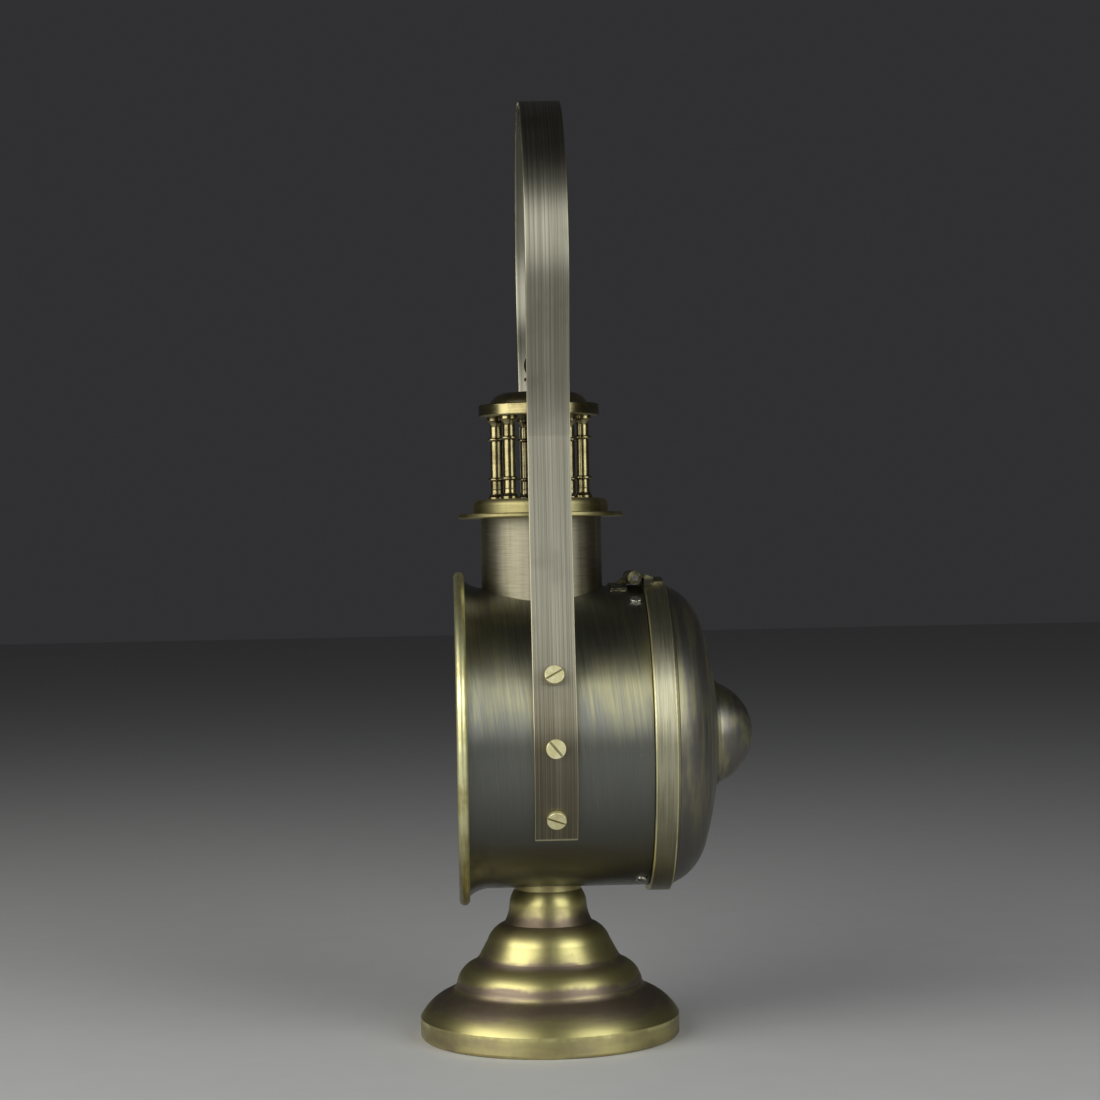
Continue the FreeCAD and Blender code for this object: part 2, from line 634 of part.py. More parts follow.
def make_glass():
    keep("front_glass", turned("front_glass", [
        ("glass_front", "0"),
        ("glass_back", "0"),
        ("glass_back", "glass_radius"),
        ("glass_front", "glass_radius"),
    ], axis="Y"))
    outer = "drum_radius - spun_wall - seat_gap"
    keep("glass_seat_ring", turned("glass_seat_ring", [
        ("glass_back", "seat_bore"),
        ("glass_back + spun_wall", "seat_bore"),
        ("glass_back + spun_wall", f"{outer} - spun_wall"),
        ("seat_back", f"{outer} - spun_wall"),
        ("seat_back", outer),
        ("glass_back", outer),
    ], axis="Y"))
    clip = keep("glass_clip", doc.addObject("Part::Torus", "glass_clip"))
    bind(clip, "Radius1", "clip_radius")
    bind(clip, "Radius2", "clip_section")
    bind(clip, "Angle3", "clip_sweep")
    upright = FreeCAD.Rotation(Vector(1, 0, 0), 90)
    gap_down = FreeCAD.Rotation(Vector(0, 1, 0), -size("clip_sweep") / 2 - 90)
    clip.Placement = FreeCAD.Placement(
        Vector(0, size("clip_position"), size("drum_axis_height")), gap_down * upright)


def make_spigot():
    outer = "drum_radius - spun_wall - seat_gap"
    ring = turned("rear_spigot_blank", [
        ("spigot_front", f"{outer} - spun_wall"),
        ("spigot_rear", f"{outer} - spun_wall"),
        ("spigot_rear", outer),
        ("spigot_front", outer),
    ], axis="Y")
    keep("rear_spigot_ring", cut("rear_spigot_ring", ring, ring_holes("spigot_hole")))
    screws = []
    for number, angle in enumerate(ring_screw_angles(), start=1):
        screw = slotted_screw(
            f"ring_screw_{number}", "ring_screw_head_radius", "ring_screw_head_height",
            "ring_screw_round", "ring_screw_shank", "ring_screw_length",
            "ring_slot_half_width", "ring_slot_depth", turn=35 + 70 * number)
        screw.Placement = radial_place(angle, size("ring_screw_position"), size("drum_radius"))
        screws.append(screw)
    keep("rear_ring_screws", group("rear_ring_screws", screws))


# ---- Hinge ------------------------------------------------------------------------------------

def along_x(name, radius, start, length):
    """A cylinder on the hinge's axis, from a place along X."""
    item = cylinder(name, radius, length)
    item.Placement = FreeCAD.Placement(
        Vector(size(start), size("hinge_position"), size("hinge_height")),
        FreeCAD.Rotation(Vector(0, 1, 0), 90))
    bind(item, "Placement.Base.x", start)
    bind(item, "Placement.Base.y", "hinge_position")
    bind(item, "Placement.Base.z", "hinge_height")
    return item


def hinge_plate(name, corners, start, length):
    """A plate with its outline in the YZ plane, from a place along X."""
    body = doc.addObject("PartDesign::Body", name)
    sketch = sketch_on(body, "YZ_Plane", f"{name}_outline")
    draw_outline(sketch, corners, closed=True)
    pad = body.newObject("PartDesign::Pad", f"{name}_pad")
    pad.Profile = sketch
    bind(pad, "Length", length)
    body.Tip = pad
    bind(body, "Placement.Base.x", start)
    return body


def make_fixed_leaf():
    plate = [
        ("hinge_position - leaf_reach", "hinge_height"),
        ("hinge_position - leaf_gap", "hinge_height"),
        ("hinge_position - leaf_gap", "hinge_height - leaf_depth"),
        ("hinge_position - leaf_reach", "hinge_height - leaf_depth"),
    ]
    tongue = [
        ("hinge_position - tongue_front", "hinge_height - tongue_bottom"),
        ("hinge_position - tongue_front", "hinge_height - tongue_shoulder"),
        ("hinge_position - tongue_back", "hinge_height + tongue_back"),
        ("hinge_position - tongue_back", "hinge_height - tongue_inside"),
        ("hinge_position - tongue_bottom", "hinge_height - tongue_bottom"),
    ]
    whole = ("0 - hinge_half_width", "hinge_half_width + hinge_half_width")
    middle = ("0 - knuckle_inner", "knuckle_inner + knuckle_inner")
    skin = doc.addObject("Part::Common", "fixed_leaf_skin")
    skin.Base = hinge_plate("fixed_leaf_plate", plate, *whole)
    skin.Tool = drum_envelope("leaf_envelope", "leaf_outside")
    leaf = joined("fixed_leaf_blank", [
        skin,
        hinge_plate("fixed_leaf_tongue", tongue, *middle),
        along_x("fixed_knuckle", "knuckle_radius", *middle),
    ])
    bore = along_x("fixed_bore", "fixed_knuckle_bore", *whole)
    saddle = drum_envelope("leaf_saddle", "drum_radius")
    keep("hinge_leaf_fixed", cut("hinge_leaf_fixed", leaf, [bore, saddle]))
    keep("hinge_pin", along_x("hinge_pin", "pin_radius", "0 - pin_half_length",
                              "pin_half_length + pin_half_length"))


def make_moving_leaf():
    bridge = [
        ("hinge_position", "hinge_height + bridge_top"),
        ("hinge_position", "hinge_height + bridge_bottom"),
        ("cover_front + bridge_toe", "hinge_height - bridge_step"),
        ("cover_front + bridge_toe", "hinge_height - bridge_depth"),
        ("cover_front + bridge_heel", "hinge_height - bridge_depth"),
        ("cover_front + bridge_heel", "hinge_height + bridge_step"),
    ]
    pieces = []
    length = "hinge_half_width - knuckle_start"
    for side, start in (("left", "0 - hinge_half_width"), ("right", "knuckle_start")):
        pieces.append(hinge_plate(f"bridge_{side}", bridge, start, length))
        pieces.append(along_x(f"moving_knuckle_{side}", "knuckle_radius", start, length))
    sheet_ring = turned("leaf_ring", [
        ("cover_front + 0.3", "band_radius - 1"),
        ("leaf_rear", "band_radius - 1"),
        ("leaf_rear", "band_radius + leaf_thickness"),
        ("cover_front + 0.3", "band_radius + leaf_thickness"),
    ], axis="Y")
    window = box("leaf_window", "hinge_half_width + hinge_half_width", "leaf_rear", "drum_radius")
    bind(window, "Placement.Base.x", "0 - hinge_half_width")
    bind(window, "Placement.Base.z", "drum_axis_height + 20")
    leaf = doc.addObject("Part::Common", "leaf_on_band")
    leaf.Base = sheet_ring
    leaf.Tool = window
    blank = joined("moving_leaf_blank", pieces + [leaf])
    bore = along_x("moving_bore", "moving_knuckle_bore", "0 - hinge_half_width - 1",
                   "hinge_half_width + hinge_half_width + 2")
    seat = drum_envelope("band_seat", "band_radius")
    keep("hinge_leaf_moving", cut("hinge_leaf_moving", blank, [bore, seat]))


# ---- Rear cover -------------------------------------------------------------------------------

def make_cover():
    keep("rear_cover_dome", spun("rear_cover_dome", [
        ("cover_centre", "stud_hole"),
        ("cover_face_end", "cover_face_end_radius"),
        ("cover_face_start", "cover_face_start_radius", "left", "cover_face_bend"),
        ("cover_dome_start", "cover_dome_start_radius", "left", "cover_corner_bend"),
        ("cover_skirt_end", "cover_skirt_radius"),
        ("cover_front", "cover_skirt_radius"),
    ], axis="Y"))
    keep("rear_cover_band", turned("rear_cover_band", [
        ("cover_front", "cover_skirt_radius"),
        ("band_rear", "cover_skirt_radius"),
        ("band_rear", "band_radius - edge_round"),
        ("band_rear - edge_round", "band_radius", "left", "edge_round"),
        ("cover_front + edge_round", "band_radius"),
        ("cover_front", "band_radius - edge_round", "left", "edge_round"),
    ], axis="Y"))


def make_boss():
    keep("rear_boss", turned("rear_boss", [
        ("boss_apex", "0"),
        ("boss_edge", "boss_edge_radius", "left", "boss_bend"),
        ("boss_rim_rear", "boss_rim_radius"),
        ("boss_rim_front", "boss_rim_radius"),
        ("boss_rim_front", "boss_edge_radius - spun_wall"),
        ("boss_edge", "boss_edge_radius - spun_wall"),
        ("boss_apex - spun_wall", "0", "right", "boss_bend - spun_wall"),
    ], axis="Y"))
    keep("boss_stud", turned("boss_stud", [
        ("stud_front", "0"),
        ("stud_rear", "0"),
        ("stud_rear", "stud_radius"),
        ("stud_front", "stud_radius"),
    ], axis="Y"))
    keep("reflector", spun("reflector", [
        ("reflector_centre", "stud_hole"),
        ("reflector_edge", "reflector_radius", "left", "reflector_bend"),
    ], axis="Y", wall="thin_wall"))
    keep("reflector_bush", turned("reflector_bush", [
        ("bush_front", "stud_hole"),
        ("bush_rear", "stud_hole"),
        ("bush_rear", "bush_radius"),
        ("bush_front", "bush_radius"),
    ], axis="Y"))
    nut = keep("boss_nut", hex_nut("boss_nut", "nut_flat", "nut_height", "nut_bore + 0.05"))
    seat = size("reflector_centre") - size("thin_wall") - size("seat_gap")
    nut.Placement = FreeCAD.Placement(Vector(0, seat, size("drum_axis_height")),
                                      FreeCAD.Rotation(Vector(1, 0, 0), 90))


# ---- Handle -----------------------------------------------------------------------------------

def draw_strap_spine(sketch):
    """Middle line of the right half of the strap, from the top of the loop to its lower end.

    Four arcs run into one another: the loop, the neck, the long flank and the wrap on the drum.
    """
    half, height = size("grip_half_width"), size("grip_neck_height")
    loop = Vector(0, size("loop_height"), 0)
    drum = Vector(0, size("drum_axis_height"), 0)
    loop_radius, wrap_radius = size("loop_radius"), size("strap_wrap_radius")

    def flank_radius(circle, radius):
        """Radius of an arc that is upright at the neck and touches the circle from outside."""
        rise = circle.y - height
        return (half ** 2 + rise ** 2 - radius ** 2) / (2 * (radius - half))

    neck_bend = flank_radius(loop, loop_radius)
    flank_bend = flank_radius(drum, wrap_radius)
    neck_centre = Vector(half + neck_bend, height, 0)
    flank_centre = Vector(half + flank_bend, height, 0)
    loop_end = loop + (neck_centre - loop).normalize() * loop_radius
    narrow = Vector(half, height, 0)
    wrap_start = drum + (flank_centre - drum).normalize() * wrap_radius
    drop = size("strap_end_height") - drum.y
    wrap_end = Vector(sqrt(wrap_radius ** 2 - drop ** 2), size("strap_end_height"), 0)

    sketch.addGeometry(arc_between(loop + Vector(0, loop_radius, 0), loop_end, loop_radius, "right"))
    sketch.addGeometry(arc_between(loop_end, narrow, neck_bend, "left"))
    sketch.addGeometry(arc_between(narrow, wrap_start, flank_bend, "left"))
    sketch.addGeometry(arc_between(wrap_start, wrap_end, wrap_radius, "right"))
    # Ends: an arc drawn "right" runs from its last point to its first.
    sketch.addConstraint(Sketcher.Constraint("Tangent", 0, 1, 1, 1))
    sketch.addConstraint(Sketcher.Constraint("Tangent", 1, 2, 2, 1))
    sketch.addConstraint(Sketcher.Constraint("Tangent", 2, 2, 3, 2))
    sketch.addConstraint(Sketcher.Constraint("PointOnObject", 0, 2, -2))
    pin_point(sketch, 0, 3, "0", "loop_height")
    pin_point(sketch, 3, 3, "0", "drum_axis_height")
    pin_point(sketch, 1, 2, "grip_half_width", "grip_neck_height")
    for kind, geometry, end, text in (("DistanceY", 1, 3, "grip_neck_height"),
                                      ("DistanceY", 3, 1, "strap_end_height")):
        index = sketch.addConstraint(
            Sketcher.Constraint(kind, -1, 1, geometry, end, size(text)))
        sketch.setExpression(f"Constraints[{index}]", formula(text))
    for geometry, text in ((0, "loop_radius"), (3, "strap_wrap_radius")):
        index = sketch.addConstraint(Sketcher.Constraint("Radius", geometry, size(text)))
        sketch.setExpression(f"Constraints[{index}]", formula(text))


def make_strap():
    body = doc.addObject("PartDesign::Body", "handle_strap_blank")
    spine = sketch_on(body, "XZ_Plane", "strap_spine")
    draw_strap_spine(spine)
    section = sketch_on(body, "YZ_Plane", "strap_section")
    top = "loop_height + loop_radius + strap_half_thickness"
    under = "loop_height + loop_radius - strap_half_thickness"
    draw_outline(section, [
        ("0 - strap_half_width + edge_round", under, "left", "edge_round"),
        ("strap_half_width - edge_round", under),
        ("strap_half_width", f"{under} + edge_round", "left", "edge_round"),
        ("strap_half_width", f"{top} - edge_round"),
        ("strap_half_width - edge_round", top, "left", "edge_round"),
        ("0 - strap_half_width + edge_round", top),
        ("0 - strap_half_width", f"{top} - edge_round", "left", "edge_round"),
        ("0 - strap_half_width", f"{under} + edge_round"),
    ], closed=True)
    doc.recompute()
    half = body.newObject("PartDesign::AdditivePipe", "strap_half")
    half.Profile = section
    half.Spine = (spine, ["Edge1", "Edge2", "Edge3", "Edge4"])
    doc.recompute()
    whole = body.newObject("PartDesign::Mirrored", "strap_whole")
    whole.Originals = [half]
    plane = next(plane for plane in body.Origin.OriginFeatures if plane.Role == "YZ_Plane")
    whole.MirrorPlane = (plane, [""])
    body.Tip = whole
    bind(body, "Placement.Base.y", "strap_position")
    holes = handle_holes("strap_hole", "drum_radius", "upper_screw_seat - drum_radius + 4")
    keep("handle_strap", cut("handle_strap", body, holes))


def make_handle_fixings():
    along = size("strap_position")
    screws = []
    nuts = []
    for number, (angle, kind, turn) in enumerate(handle_screw_angles(), start=1):
        screw = slotted_screw(
            f"handle_screw_{number}", "screw_head_radius", "screw_head_height",
            "screw_head_round", "screw_shank", f"{kind}_length",
            "slot_half_width", "slot_depth", turn)
        screw.Placement = radial_place(angle, along, size(f"{kind}_seat"))
        screws.append(screw)
        nut = hex_nut(f"handle_nut_{number}", "nut_flat", "nut_height", "nut_bore")
        nut.Placement = radial_place(angle, along, size("nut_seat") - size("nut_height"))
        nuts.append(nut)
    keep("handle_screws", group("handle_screws", screws))
    keep("handle_nuts", group("handle_nuts", nuts))
    spacers = []
    upper = [size("upper_screw_angle"), 180 - size("upper_screw_angle")]
    for number, angle in enumerate(upper, start=1):
        blank = cylinder(f"spacer_blank_{number}", "spacer_radius", "spacer_reach - screw_tip")
        hole = cylinder(f"spacer_hole_{number}", "screw_hole", "spacer_reach - screw_tip")
        blank.Placement = radial_place(angle, along, size("screw_tip"))
        hole.Placement = blank.Placement
        drum = drum_envelope(f"spacer_saddle_{number}", "drum_radius")
        spacers.append(cut(f"handle_spacer_{number}", blank, [hole, drum]))
    keep("handle_spacers", group("handle_spacers", spacers))


# ---- Chimney ----------------------------------------------------------------------------------

def tenon_sockets(body, name, height, upward):
    """Blind holes for the balusters' tenons in one face of a turned body."""
    doc.recompute()
    sketch = sketch_on(body, "XY_Plane", f"{name}_tenon")
    sketch.AttachmentOffset = FreeCAD.Placement(
        Vector(0, 0, size(height)), FreeCAD.Rotation(Vector(0, 0, 1), size("baluster_start")))
    bind(sketch, "AttachmentOffset.Base.z", height)
    circle = Part.Circle(Vector(size("baluster_circle"), 0, 0), Vector(0, 0, 1), size("tenon_hole"))
    index = sketch.addGeometry(circle)
    pin_point(sketch, index, 3, "baluster_circle", "0")
    radius = sketch.addConstraint(Sketcher.Constraint("Radius", index, size("tenon_hole")))
    sketch.setExpression(f"Constraints[{radius}]", formula("tenon_hole"))
    pocket = body.newObject("PartDesign::Pocket", f"{name}_socket")
    pocket.Profile = sketch
    pocket.Reversed = upward
    bind(pocket, "Length", "tenon_depth")
    doc.recompute()
    ring = body.newObject("PartDesign::PolarPattern", f"{name}_sockets")
    ring.Originals = [pocket]
    ring.Axis = (sketch, ["N_Axis"])
    ring.Angle = 360
    bind(ring, "Occurrences", "baluster_count")
    body.Tip = ring


def make_chimney():
    inner = "tube_radius - spun_wall"
    tube = turned("chimney_tube_blank", [
        (inner, "tube_foot"),
        ("tube_radius", "tube_foot"),
        ("tube_radius", "tube_top"),
        (inner, "tube_top"),
    ])
    keep("chimney_tube", cut("chimney_tube", tube, [drum_envelope("tube_saddle", "drum_radius")]))
    keep("chimney_flange", turned("chimney_flange", [
        ("throat_radius", "tube_top"),
        ("flange_radius - flange_round", "tube_top"),
        ("flange_radius", "tube_top + flange_round", "left", "flange_round"),
        ("flange_radius", "flange_top - flange_round"),
        ("flange_radius - flange_round", "flange_top", "left", "flange_round"),
        ("throat_radius", "flange_top"),
    ]))
    collar = keep("chimney_collar", turned("chimney_collar", [
        ("throat_radius", "flange_top"),
        ("collar_radius", "flange_top"),
        ("collar_radius", "collar_side_top"),
        ("collar_flat_radius", "collar_top", "left", "collar_round"),
        ("throat_radius", "collar_top"),
    ]))
    tenon_sockets(collar, "collar", "collar_top", upward=False)


def baluster_ring(middle):
    """Corners of one bead on a baluster, from below."""
    low = f"{middle} - baluster_ring_half"
    high = f"{middle} + baluster_ring_half"
    return [
        ("baluster_radius", low),
        ("baluster_ring_root", low),
        ("baluster_ring_root", high, "left", "baluster_ring_bend"),
        ("baluster_radius", high),
    ]


def make_balusters():
    capital = "baluster_height - baluster_foot_height"
    corners = [
        ("0", "0 - tenon_length"),
        ("tenon_radius", "0 - tenon_length"),
        ("tenon_radius", "0"),
        ("baluster_foot_radius", "0"),
        ("baluster_foot_radius", "baluster_foot_height"),
        ("baluster_radius", "baluster_cove_height", "right", "baluster_cove_bend"),
        *baluster_ring("baluster_ring_low"),
        *baluster_ring("baluster_ring_high"),
        ("baluster_radius", "baluster_height - baluster_cove_height"),
        ("baluster_foot_radius", capital, "right", "baluster_cove_bend"),
        ("baluster_foot_radius", "baluster_height"),
        ("tenon_radius", "baluster_height"),
        ("tenon_radius", "baluster_height + tenon_length"),
        ("0", "baluster_height + tenon_length"),
    ]
    count = int(size("baluster_count"))
    for number in range(count):
        angle = radians(size("baluster_start") + number * 360 / count)
        baluster = keep(f"baluster_{number + 1}", turned(f"baluster_{number + 1}", corners))
        circle = size("baluster_circle")
        baluster.Placement = FreeCAD.Placement(
            Vector(circle * cos(angle), circle * sin(angle), size("collar_top")),
            FreeCAD.Rotation())
        bind(baluster, "Placement.Base.z", "collar_top")


def make_cap():
    rim = keep("cap_rim", turned("cap_rim", [
        ("finial_hole", "cap_bottom"),
        ("cap_radius - cap_round", "cap_bottom"),
        ("cap_radius", "cap_bottom + cap_round", "left", "cap_round"),
        ("cap_radius", "cap_top - cap_round"),
        ("cap_radius - cap_round", "cap_top", "left", "cap_round"),
        ("cap_well_radius", "cap_top"),
        ("cap_well_radius", "cap_floor"),
        ("finial_hole", "cap_floor"),
    ]))
    tenon_sockets(rim, "cap", "cap_bottom", upward=True)
    dome = spun("cap_dome_blank", [
        ("crown_radius", "cap_top"),
        ("crown_flat_radius", "crown_flat_height", "left", "crown_bend"),
        ("finial_hole", "crown_top"),
    ], wall="crown_wall")
    seat = cylinder("cap_dome_seat", "cap_radius", "cap_top")
    keep("cap_dome", cut("cap_dome", dome, [seat]))
    keep("finial", turned("finial", [
        ("0", "finial_stud_bottom"),
        ("finial_stud", "finial_stud_bottom"),
        ("finial_stud", "crown_top"),
        ("finial_foot_radius", "crown_top"),
        ("finial_waist_radius", "finial_waist_height", "right", "finial_cove_bend"),
        ("finial_foot_radius", "finial_disc_height", "right", "finial_cove_bend"),
        ("finial_disc_radius", "finial_disc_height"),
        ("finial_disc_radius", "finial_disc_top"),
        ("finial_ball_root", "finial_ball_foot"),
        ("finial_disc_radius", "finial_ball_side", "left", "finial_disc_radius"),
        ("0", "finial_top", "left", "finial_disc_radius"),
    ]))
    nut = keep("cap_nut", hex_nut("cap_nut", "nut_flat", "nut_height", "nut_bore + 0.05"))
    bind(nut, "Placement.Base.z", "cap_bottom - nut_height")


# ---- Candle holder and candle -----------------------------------------------------------------

def make_candle_holder():
    keep("candle_post", turned("candle_post", [
        ("tie_hole_radius", "post_bottom"),
        ("post_radius", "post_bottom"),
        ("post_radius", "tray_bottom"),
        ("tie_hole_radius", "tray_bottom"),
    ]))
    keep("candle_cup", turned("candle_cup", [
        ("tie_hole_radius", "tray_bottom"),
        ("tray_outer_radius", "tray_bottom"),
        ("tray_edge_radius", "tray_edge_height"),
        ("tray_edge_inner", "tray_edge_height"),
        ("tray_inner_radius", "tray_floor"),
        ("socket_radius", "tray_floor"),
        ("socket_radius", "socket_top"),
        ("socket_bore", "socket_top"),
        ("socket_bore", "tray_floor"),
        ("tie_hole_radius", "tray_floor"),
    ]))
    nut = keep("cup_nut", hex_nut("cup_nut", "tie_nut_flat", "cup_nut_top - tray_floor",
                                  "tie_nut_bore"))
    bind(nut, "Placement.Base.z", "tray_floor")


def make_candle():
    keep("candle", turned("candle", [
        ("0", "candle_bottom"),
        ("candle_radius", "candle_bottom"),
        ("candle_radius", "candle_side_top"),
        ("candle_edge_radius", "candle_top", "left", "candle_edge_round"),
        ("0", "candle_top"),
    ]))
    wick = keep("wick", cylinder("wick", "wick_radius", "wick_top - candle_top"))
    bind(wick, "Placement.Base.z", "candle_top")


# ---- The whole lantern ------------------------------------------------------------------------

make_pedestal()
make_tie_rod()
make_drum()
make_glass()
make_spigot()
make_fixed_leaf()
make_moving_leaf()
make_cover()
make_boss()
make_strap()
make_handle_fixings()
make_chimney()
make_balusters()
make_cap()
make_candle_holder()
make_candle()
doc.recompute()

for item in doc.Objects:
    if "Invalid" in item.State or "Error" in item.State:
        raise RuntimeError(f"{item.Name} did not build: {item.State}")
for label, item in SUBPARTS.items():
    if item.Shape.isNull() or not item.Shape.isValid() or not item.Shape.Solids:
        raise RuntimeError(f"{label} has no valid solid")

os.makedirs("parts", exist_ok=True)
for label, item in SUBPARTS.items():
    item.Shape.exportStep(f"parts/{label}.step")
    extent = item.Shape.BoundBox
    print(f"{label:20s} solids {len(item.Shape.Solids)}  volume {item.Shape.Volume:10.1f}  "
          f"x {extent.XMin:7.2f} {extent.XMax:7.2f}  y {extent.YMin:7.2f} {extent.YMax:7.2f}  "
          f"z {extent.ZMin:7.2f} {extent.ZMax:7.2f}")
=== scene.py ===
import json
from math import cos, pi, radians, sin, sqrt

import bmesh
import bpy
from mathutils import Euler, Matrix, Vector, noise


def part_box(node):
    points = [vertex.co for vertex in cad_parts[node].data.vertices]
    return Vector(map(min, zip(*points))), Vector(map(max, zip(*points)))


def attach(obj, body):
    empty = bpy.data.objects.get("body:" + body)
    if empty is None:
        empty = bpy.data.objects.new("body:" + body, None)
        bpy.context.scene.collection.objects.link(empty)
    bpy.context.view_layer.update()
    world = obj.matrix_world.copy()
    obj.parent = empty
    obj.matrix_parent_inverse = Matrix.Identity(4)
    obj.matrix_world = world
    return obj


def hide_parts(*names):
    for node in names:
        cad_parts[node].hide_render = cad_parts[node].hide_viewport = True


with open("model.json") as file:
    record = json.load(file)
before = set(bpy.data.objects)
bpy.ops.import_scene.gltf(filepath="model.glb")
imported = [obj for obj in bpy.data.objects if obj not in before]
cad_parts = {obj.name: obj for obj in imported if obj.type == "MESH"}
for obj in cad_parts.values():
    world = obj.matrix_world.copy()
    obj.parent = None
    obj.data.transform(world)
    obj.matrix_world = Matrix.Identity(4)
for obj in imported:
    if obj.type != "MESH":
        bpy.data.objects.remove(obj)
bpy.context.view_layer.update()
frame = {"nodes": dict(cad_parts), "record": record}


# ---- Places from the frame, in metres ----------------------------------------------------------

def middle(node):
    """Centre of a CAD node's box."""
    low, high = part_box(node)
    return (low + high) / 2


DRUM_AXIS = middle("drum_body").z
BAND_LOW, BAND_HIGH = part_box("rear_cover_band")
BAND_MIDDLE = (BAND_LOW.y + BAND_HIGH.y) / 2
BAND_HALF = (BAND_HIGH.y - BAND_LOW.y) / 2
STRAP_LOW, STRAP_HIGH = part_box("handle_strap")
STRAP_MIDDLE = middle("handle_strap").y
STRAP_HALF = (STRAP_HIGH.y - STRAP_LOW.y) / 2
FLANGE_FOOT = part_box("chimney_flange")[0].z
WICK_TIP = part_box("wick")[1].z

# The drum's own wall, and the gap between it and the ring inside its rear edge.
DRUM_WALL = 0.0012
RING_GAP = 0.0001
DRUM_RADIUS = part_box("rear_spigot_ring")[1].z - DRUM_AXIS + DRUM_WALL + RING_GAP


# ---- Shader nodes by name ----------------------------------------------------------------------

class Graph:
    """One material's node tree. Every call adds nodes and returns the socket that they give."""

    def __init__(self, name):
        self.material = bpy.data.materials.new(name)
        self.material.use_nodes = True
        self.tree = self.material.node_tree
        self.tree.nodes.clear()
        self.output = self.tree.nodes.new("ShaderNodeOutputMaterial")
        place = self.tree.nodes.new("ShaderNodeTexCoord")
        self.place = place.outputs["Object"]
        split = self.node("ShaderNodeSeparateXYZ", {0: self.place})
        self.x, self.y, self.z = split.outputs

    def node(self, kind, inputs, **settings):
        made = self.tree.nodes.new(kind)
        for key, value in settings.items():
            setattr(made, key, value)
        for key, value in inputs.items():
            if isinstance(value, bpy.types.NodeSocket):
                self.tree.links.new(value, made.inputs[key])
            else:
                made.inputs[key].default_value = value
        return made

    def math(self, operation, first, second=0.0):
        return self.node("ShaderNodeMath", {0: first, 1: second}, operation=operation).outputs[0]

    def add(self, first, second):
        return self.math("ADD", first, second)

    def subtract(self, first, second):
        return self.math("SUBTRACT", first, second)

    def times(self, first, second):
        return self.math("MULTIPLY", first, second)

    def highest(self, first, second):
        return self.math("MAXIMUM", first, second)

    def distance(self, first, second):
        return self.math("ABSOLUTE", self.subtract(first, second))

    def sway(self, value, reach):
        """A noise value between 0 and 1, moved to swing evenly about 0."""
        return self.times(self.subtract(value, 0.5), reach)

    def vector(self, x, y, z):
        return self.node("ShaderNodeCombineXYZ", {0: x, 1: y, 2: z}).outputs[0]

    def ramp(self, value, low, high, start=0.0, finish=1.0):
        """value taken smoothly from low..high to start..finish."""
        made = self.node("ShaderNodeMapRange", {
            "Value": value, "From Min": low, "From Max": high, "To Min": start, "To Max": finish},
            interpolation_type="SMOOTHSTEP")
        return made.outputs["Result"]

    def hill(self, value, centre, width):
        """1 where value is at centre, falling smoothly to 0 at width away."""
        return self.ramp(self.distance(value, centre), 0.0, width, 1.0, 0.0)

    def hills(self, value, places):
        """The highest of several hills, each a (centre, width) pair."""
        highest = 0.0
        for centre, width in places:
            highest = self.highest(highest, self.hill(value, centre, width))
        return highest

    def painted_shade_below_axis(self, start, end):
        """Mask for painted shade on the lower side: 0 down to start below the drum's axis, 1 from end
        below it.
        """
        return self.ramp(self.z, DRUM_AXIS - start, DRUM_AXIS - end)

    def blend(self, share, first, second):
        """A colour between first and second."""
        made = self.node("ShaderNodeMix", {0: share, 6: first, 7: second}, data_type="RGBA")
        return made.outputs[2]

    def between(self, share, first, second):
        """A number between first and second."""
        made = self.node("ShaderNodeMix", {0: share, 2: first, 3: second}, data_type="FLOAT")
        return made.outputs[0]

    def noise(self, place, scale, detail=2.0, rough=0.5, w=0.0):
        made = self.node("ShaderNodeTexNoise", {
            "Vector": place, "Scale": scale, "Detail": detail, "Roughness": rough, "W": w},
            noise_dimensions="4D")
        return made.outputs["Fac"]

    def stretched_noise(self, x_scale, y_scale, z_scale, detail, rough, w):
        """Noise with a scale of its own along each axis."""
        place = self.vector(self.times(self.x, x_scale), self.times(self.y, y_scale),
                            self.times(self.z, z_scale))
        return self.noise(place, 1.0, detail, rough, w)

    def polar(self, axis):
        """(cosine, sine, distance along, radius) about the upright axis or the drum's axis."""
        across, up, along = self.x, self.y, self.z
        if axis == "Y":
            up = self.subtract(self.z, DRUM_AXIS)
            along = self.y
        squares = self.add(self.times(across, across), self.times(up, up))
        radius = self.math("SQRT", self.highest(squares, 1e-9))
        return (self.math("DIVIDE", across, radius), self.math("DIVIDE", up, radius), along, radius)

    def turned_lines(self, polar, around, across, detail=3.0, seed=0.0):
        """Fine lines that run round a turned piece."""
        cosine, sine, along, radius = polar
        place = self.vector(self.times(cosine, around), self.times(along, across),
                            self.times(sine, around))
        return self.noise(place, 1.0, detail, 0.6, self.add(self.times(radius, across), seed))

    def lengthwise_lines(self, along, across, detail, seed):
        """Fine lines that run along the strap, in the plane across Y."""
        return self.stretched_noise(along, across, along, detail, 0.6, seed)

    def painted_recess_shade(self, reach):
        """Mask for painted shade: 1 in the piece's own grooves and corners, 0 on its open faces."""
        made = self.node("ShaderNodeAmbientOcclusion", {"Distance": reach}, only_local=True)
        return self.ramp(made.outputs["AO"], 0.85, 0.45)

    def bump(self, height, strength, distance):
        made = self.node("ShaderNodeBump", {
            "Height": height, "Strength": strength, "Distance": distance})
        return made.outputs["Normal"]

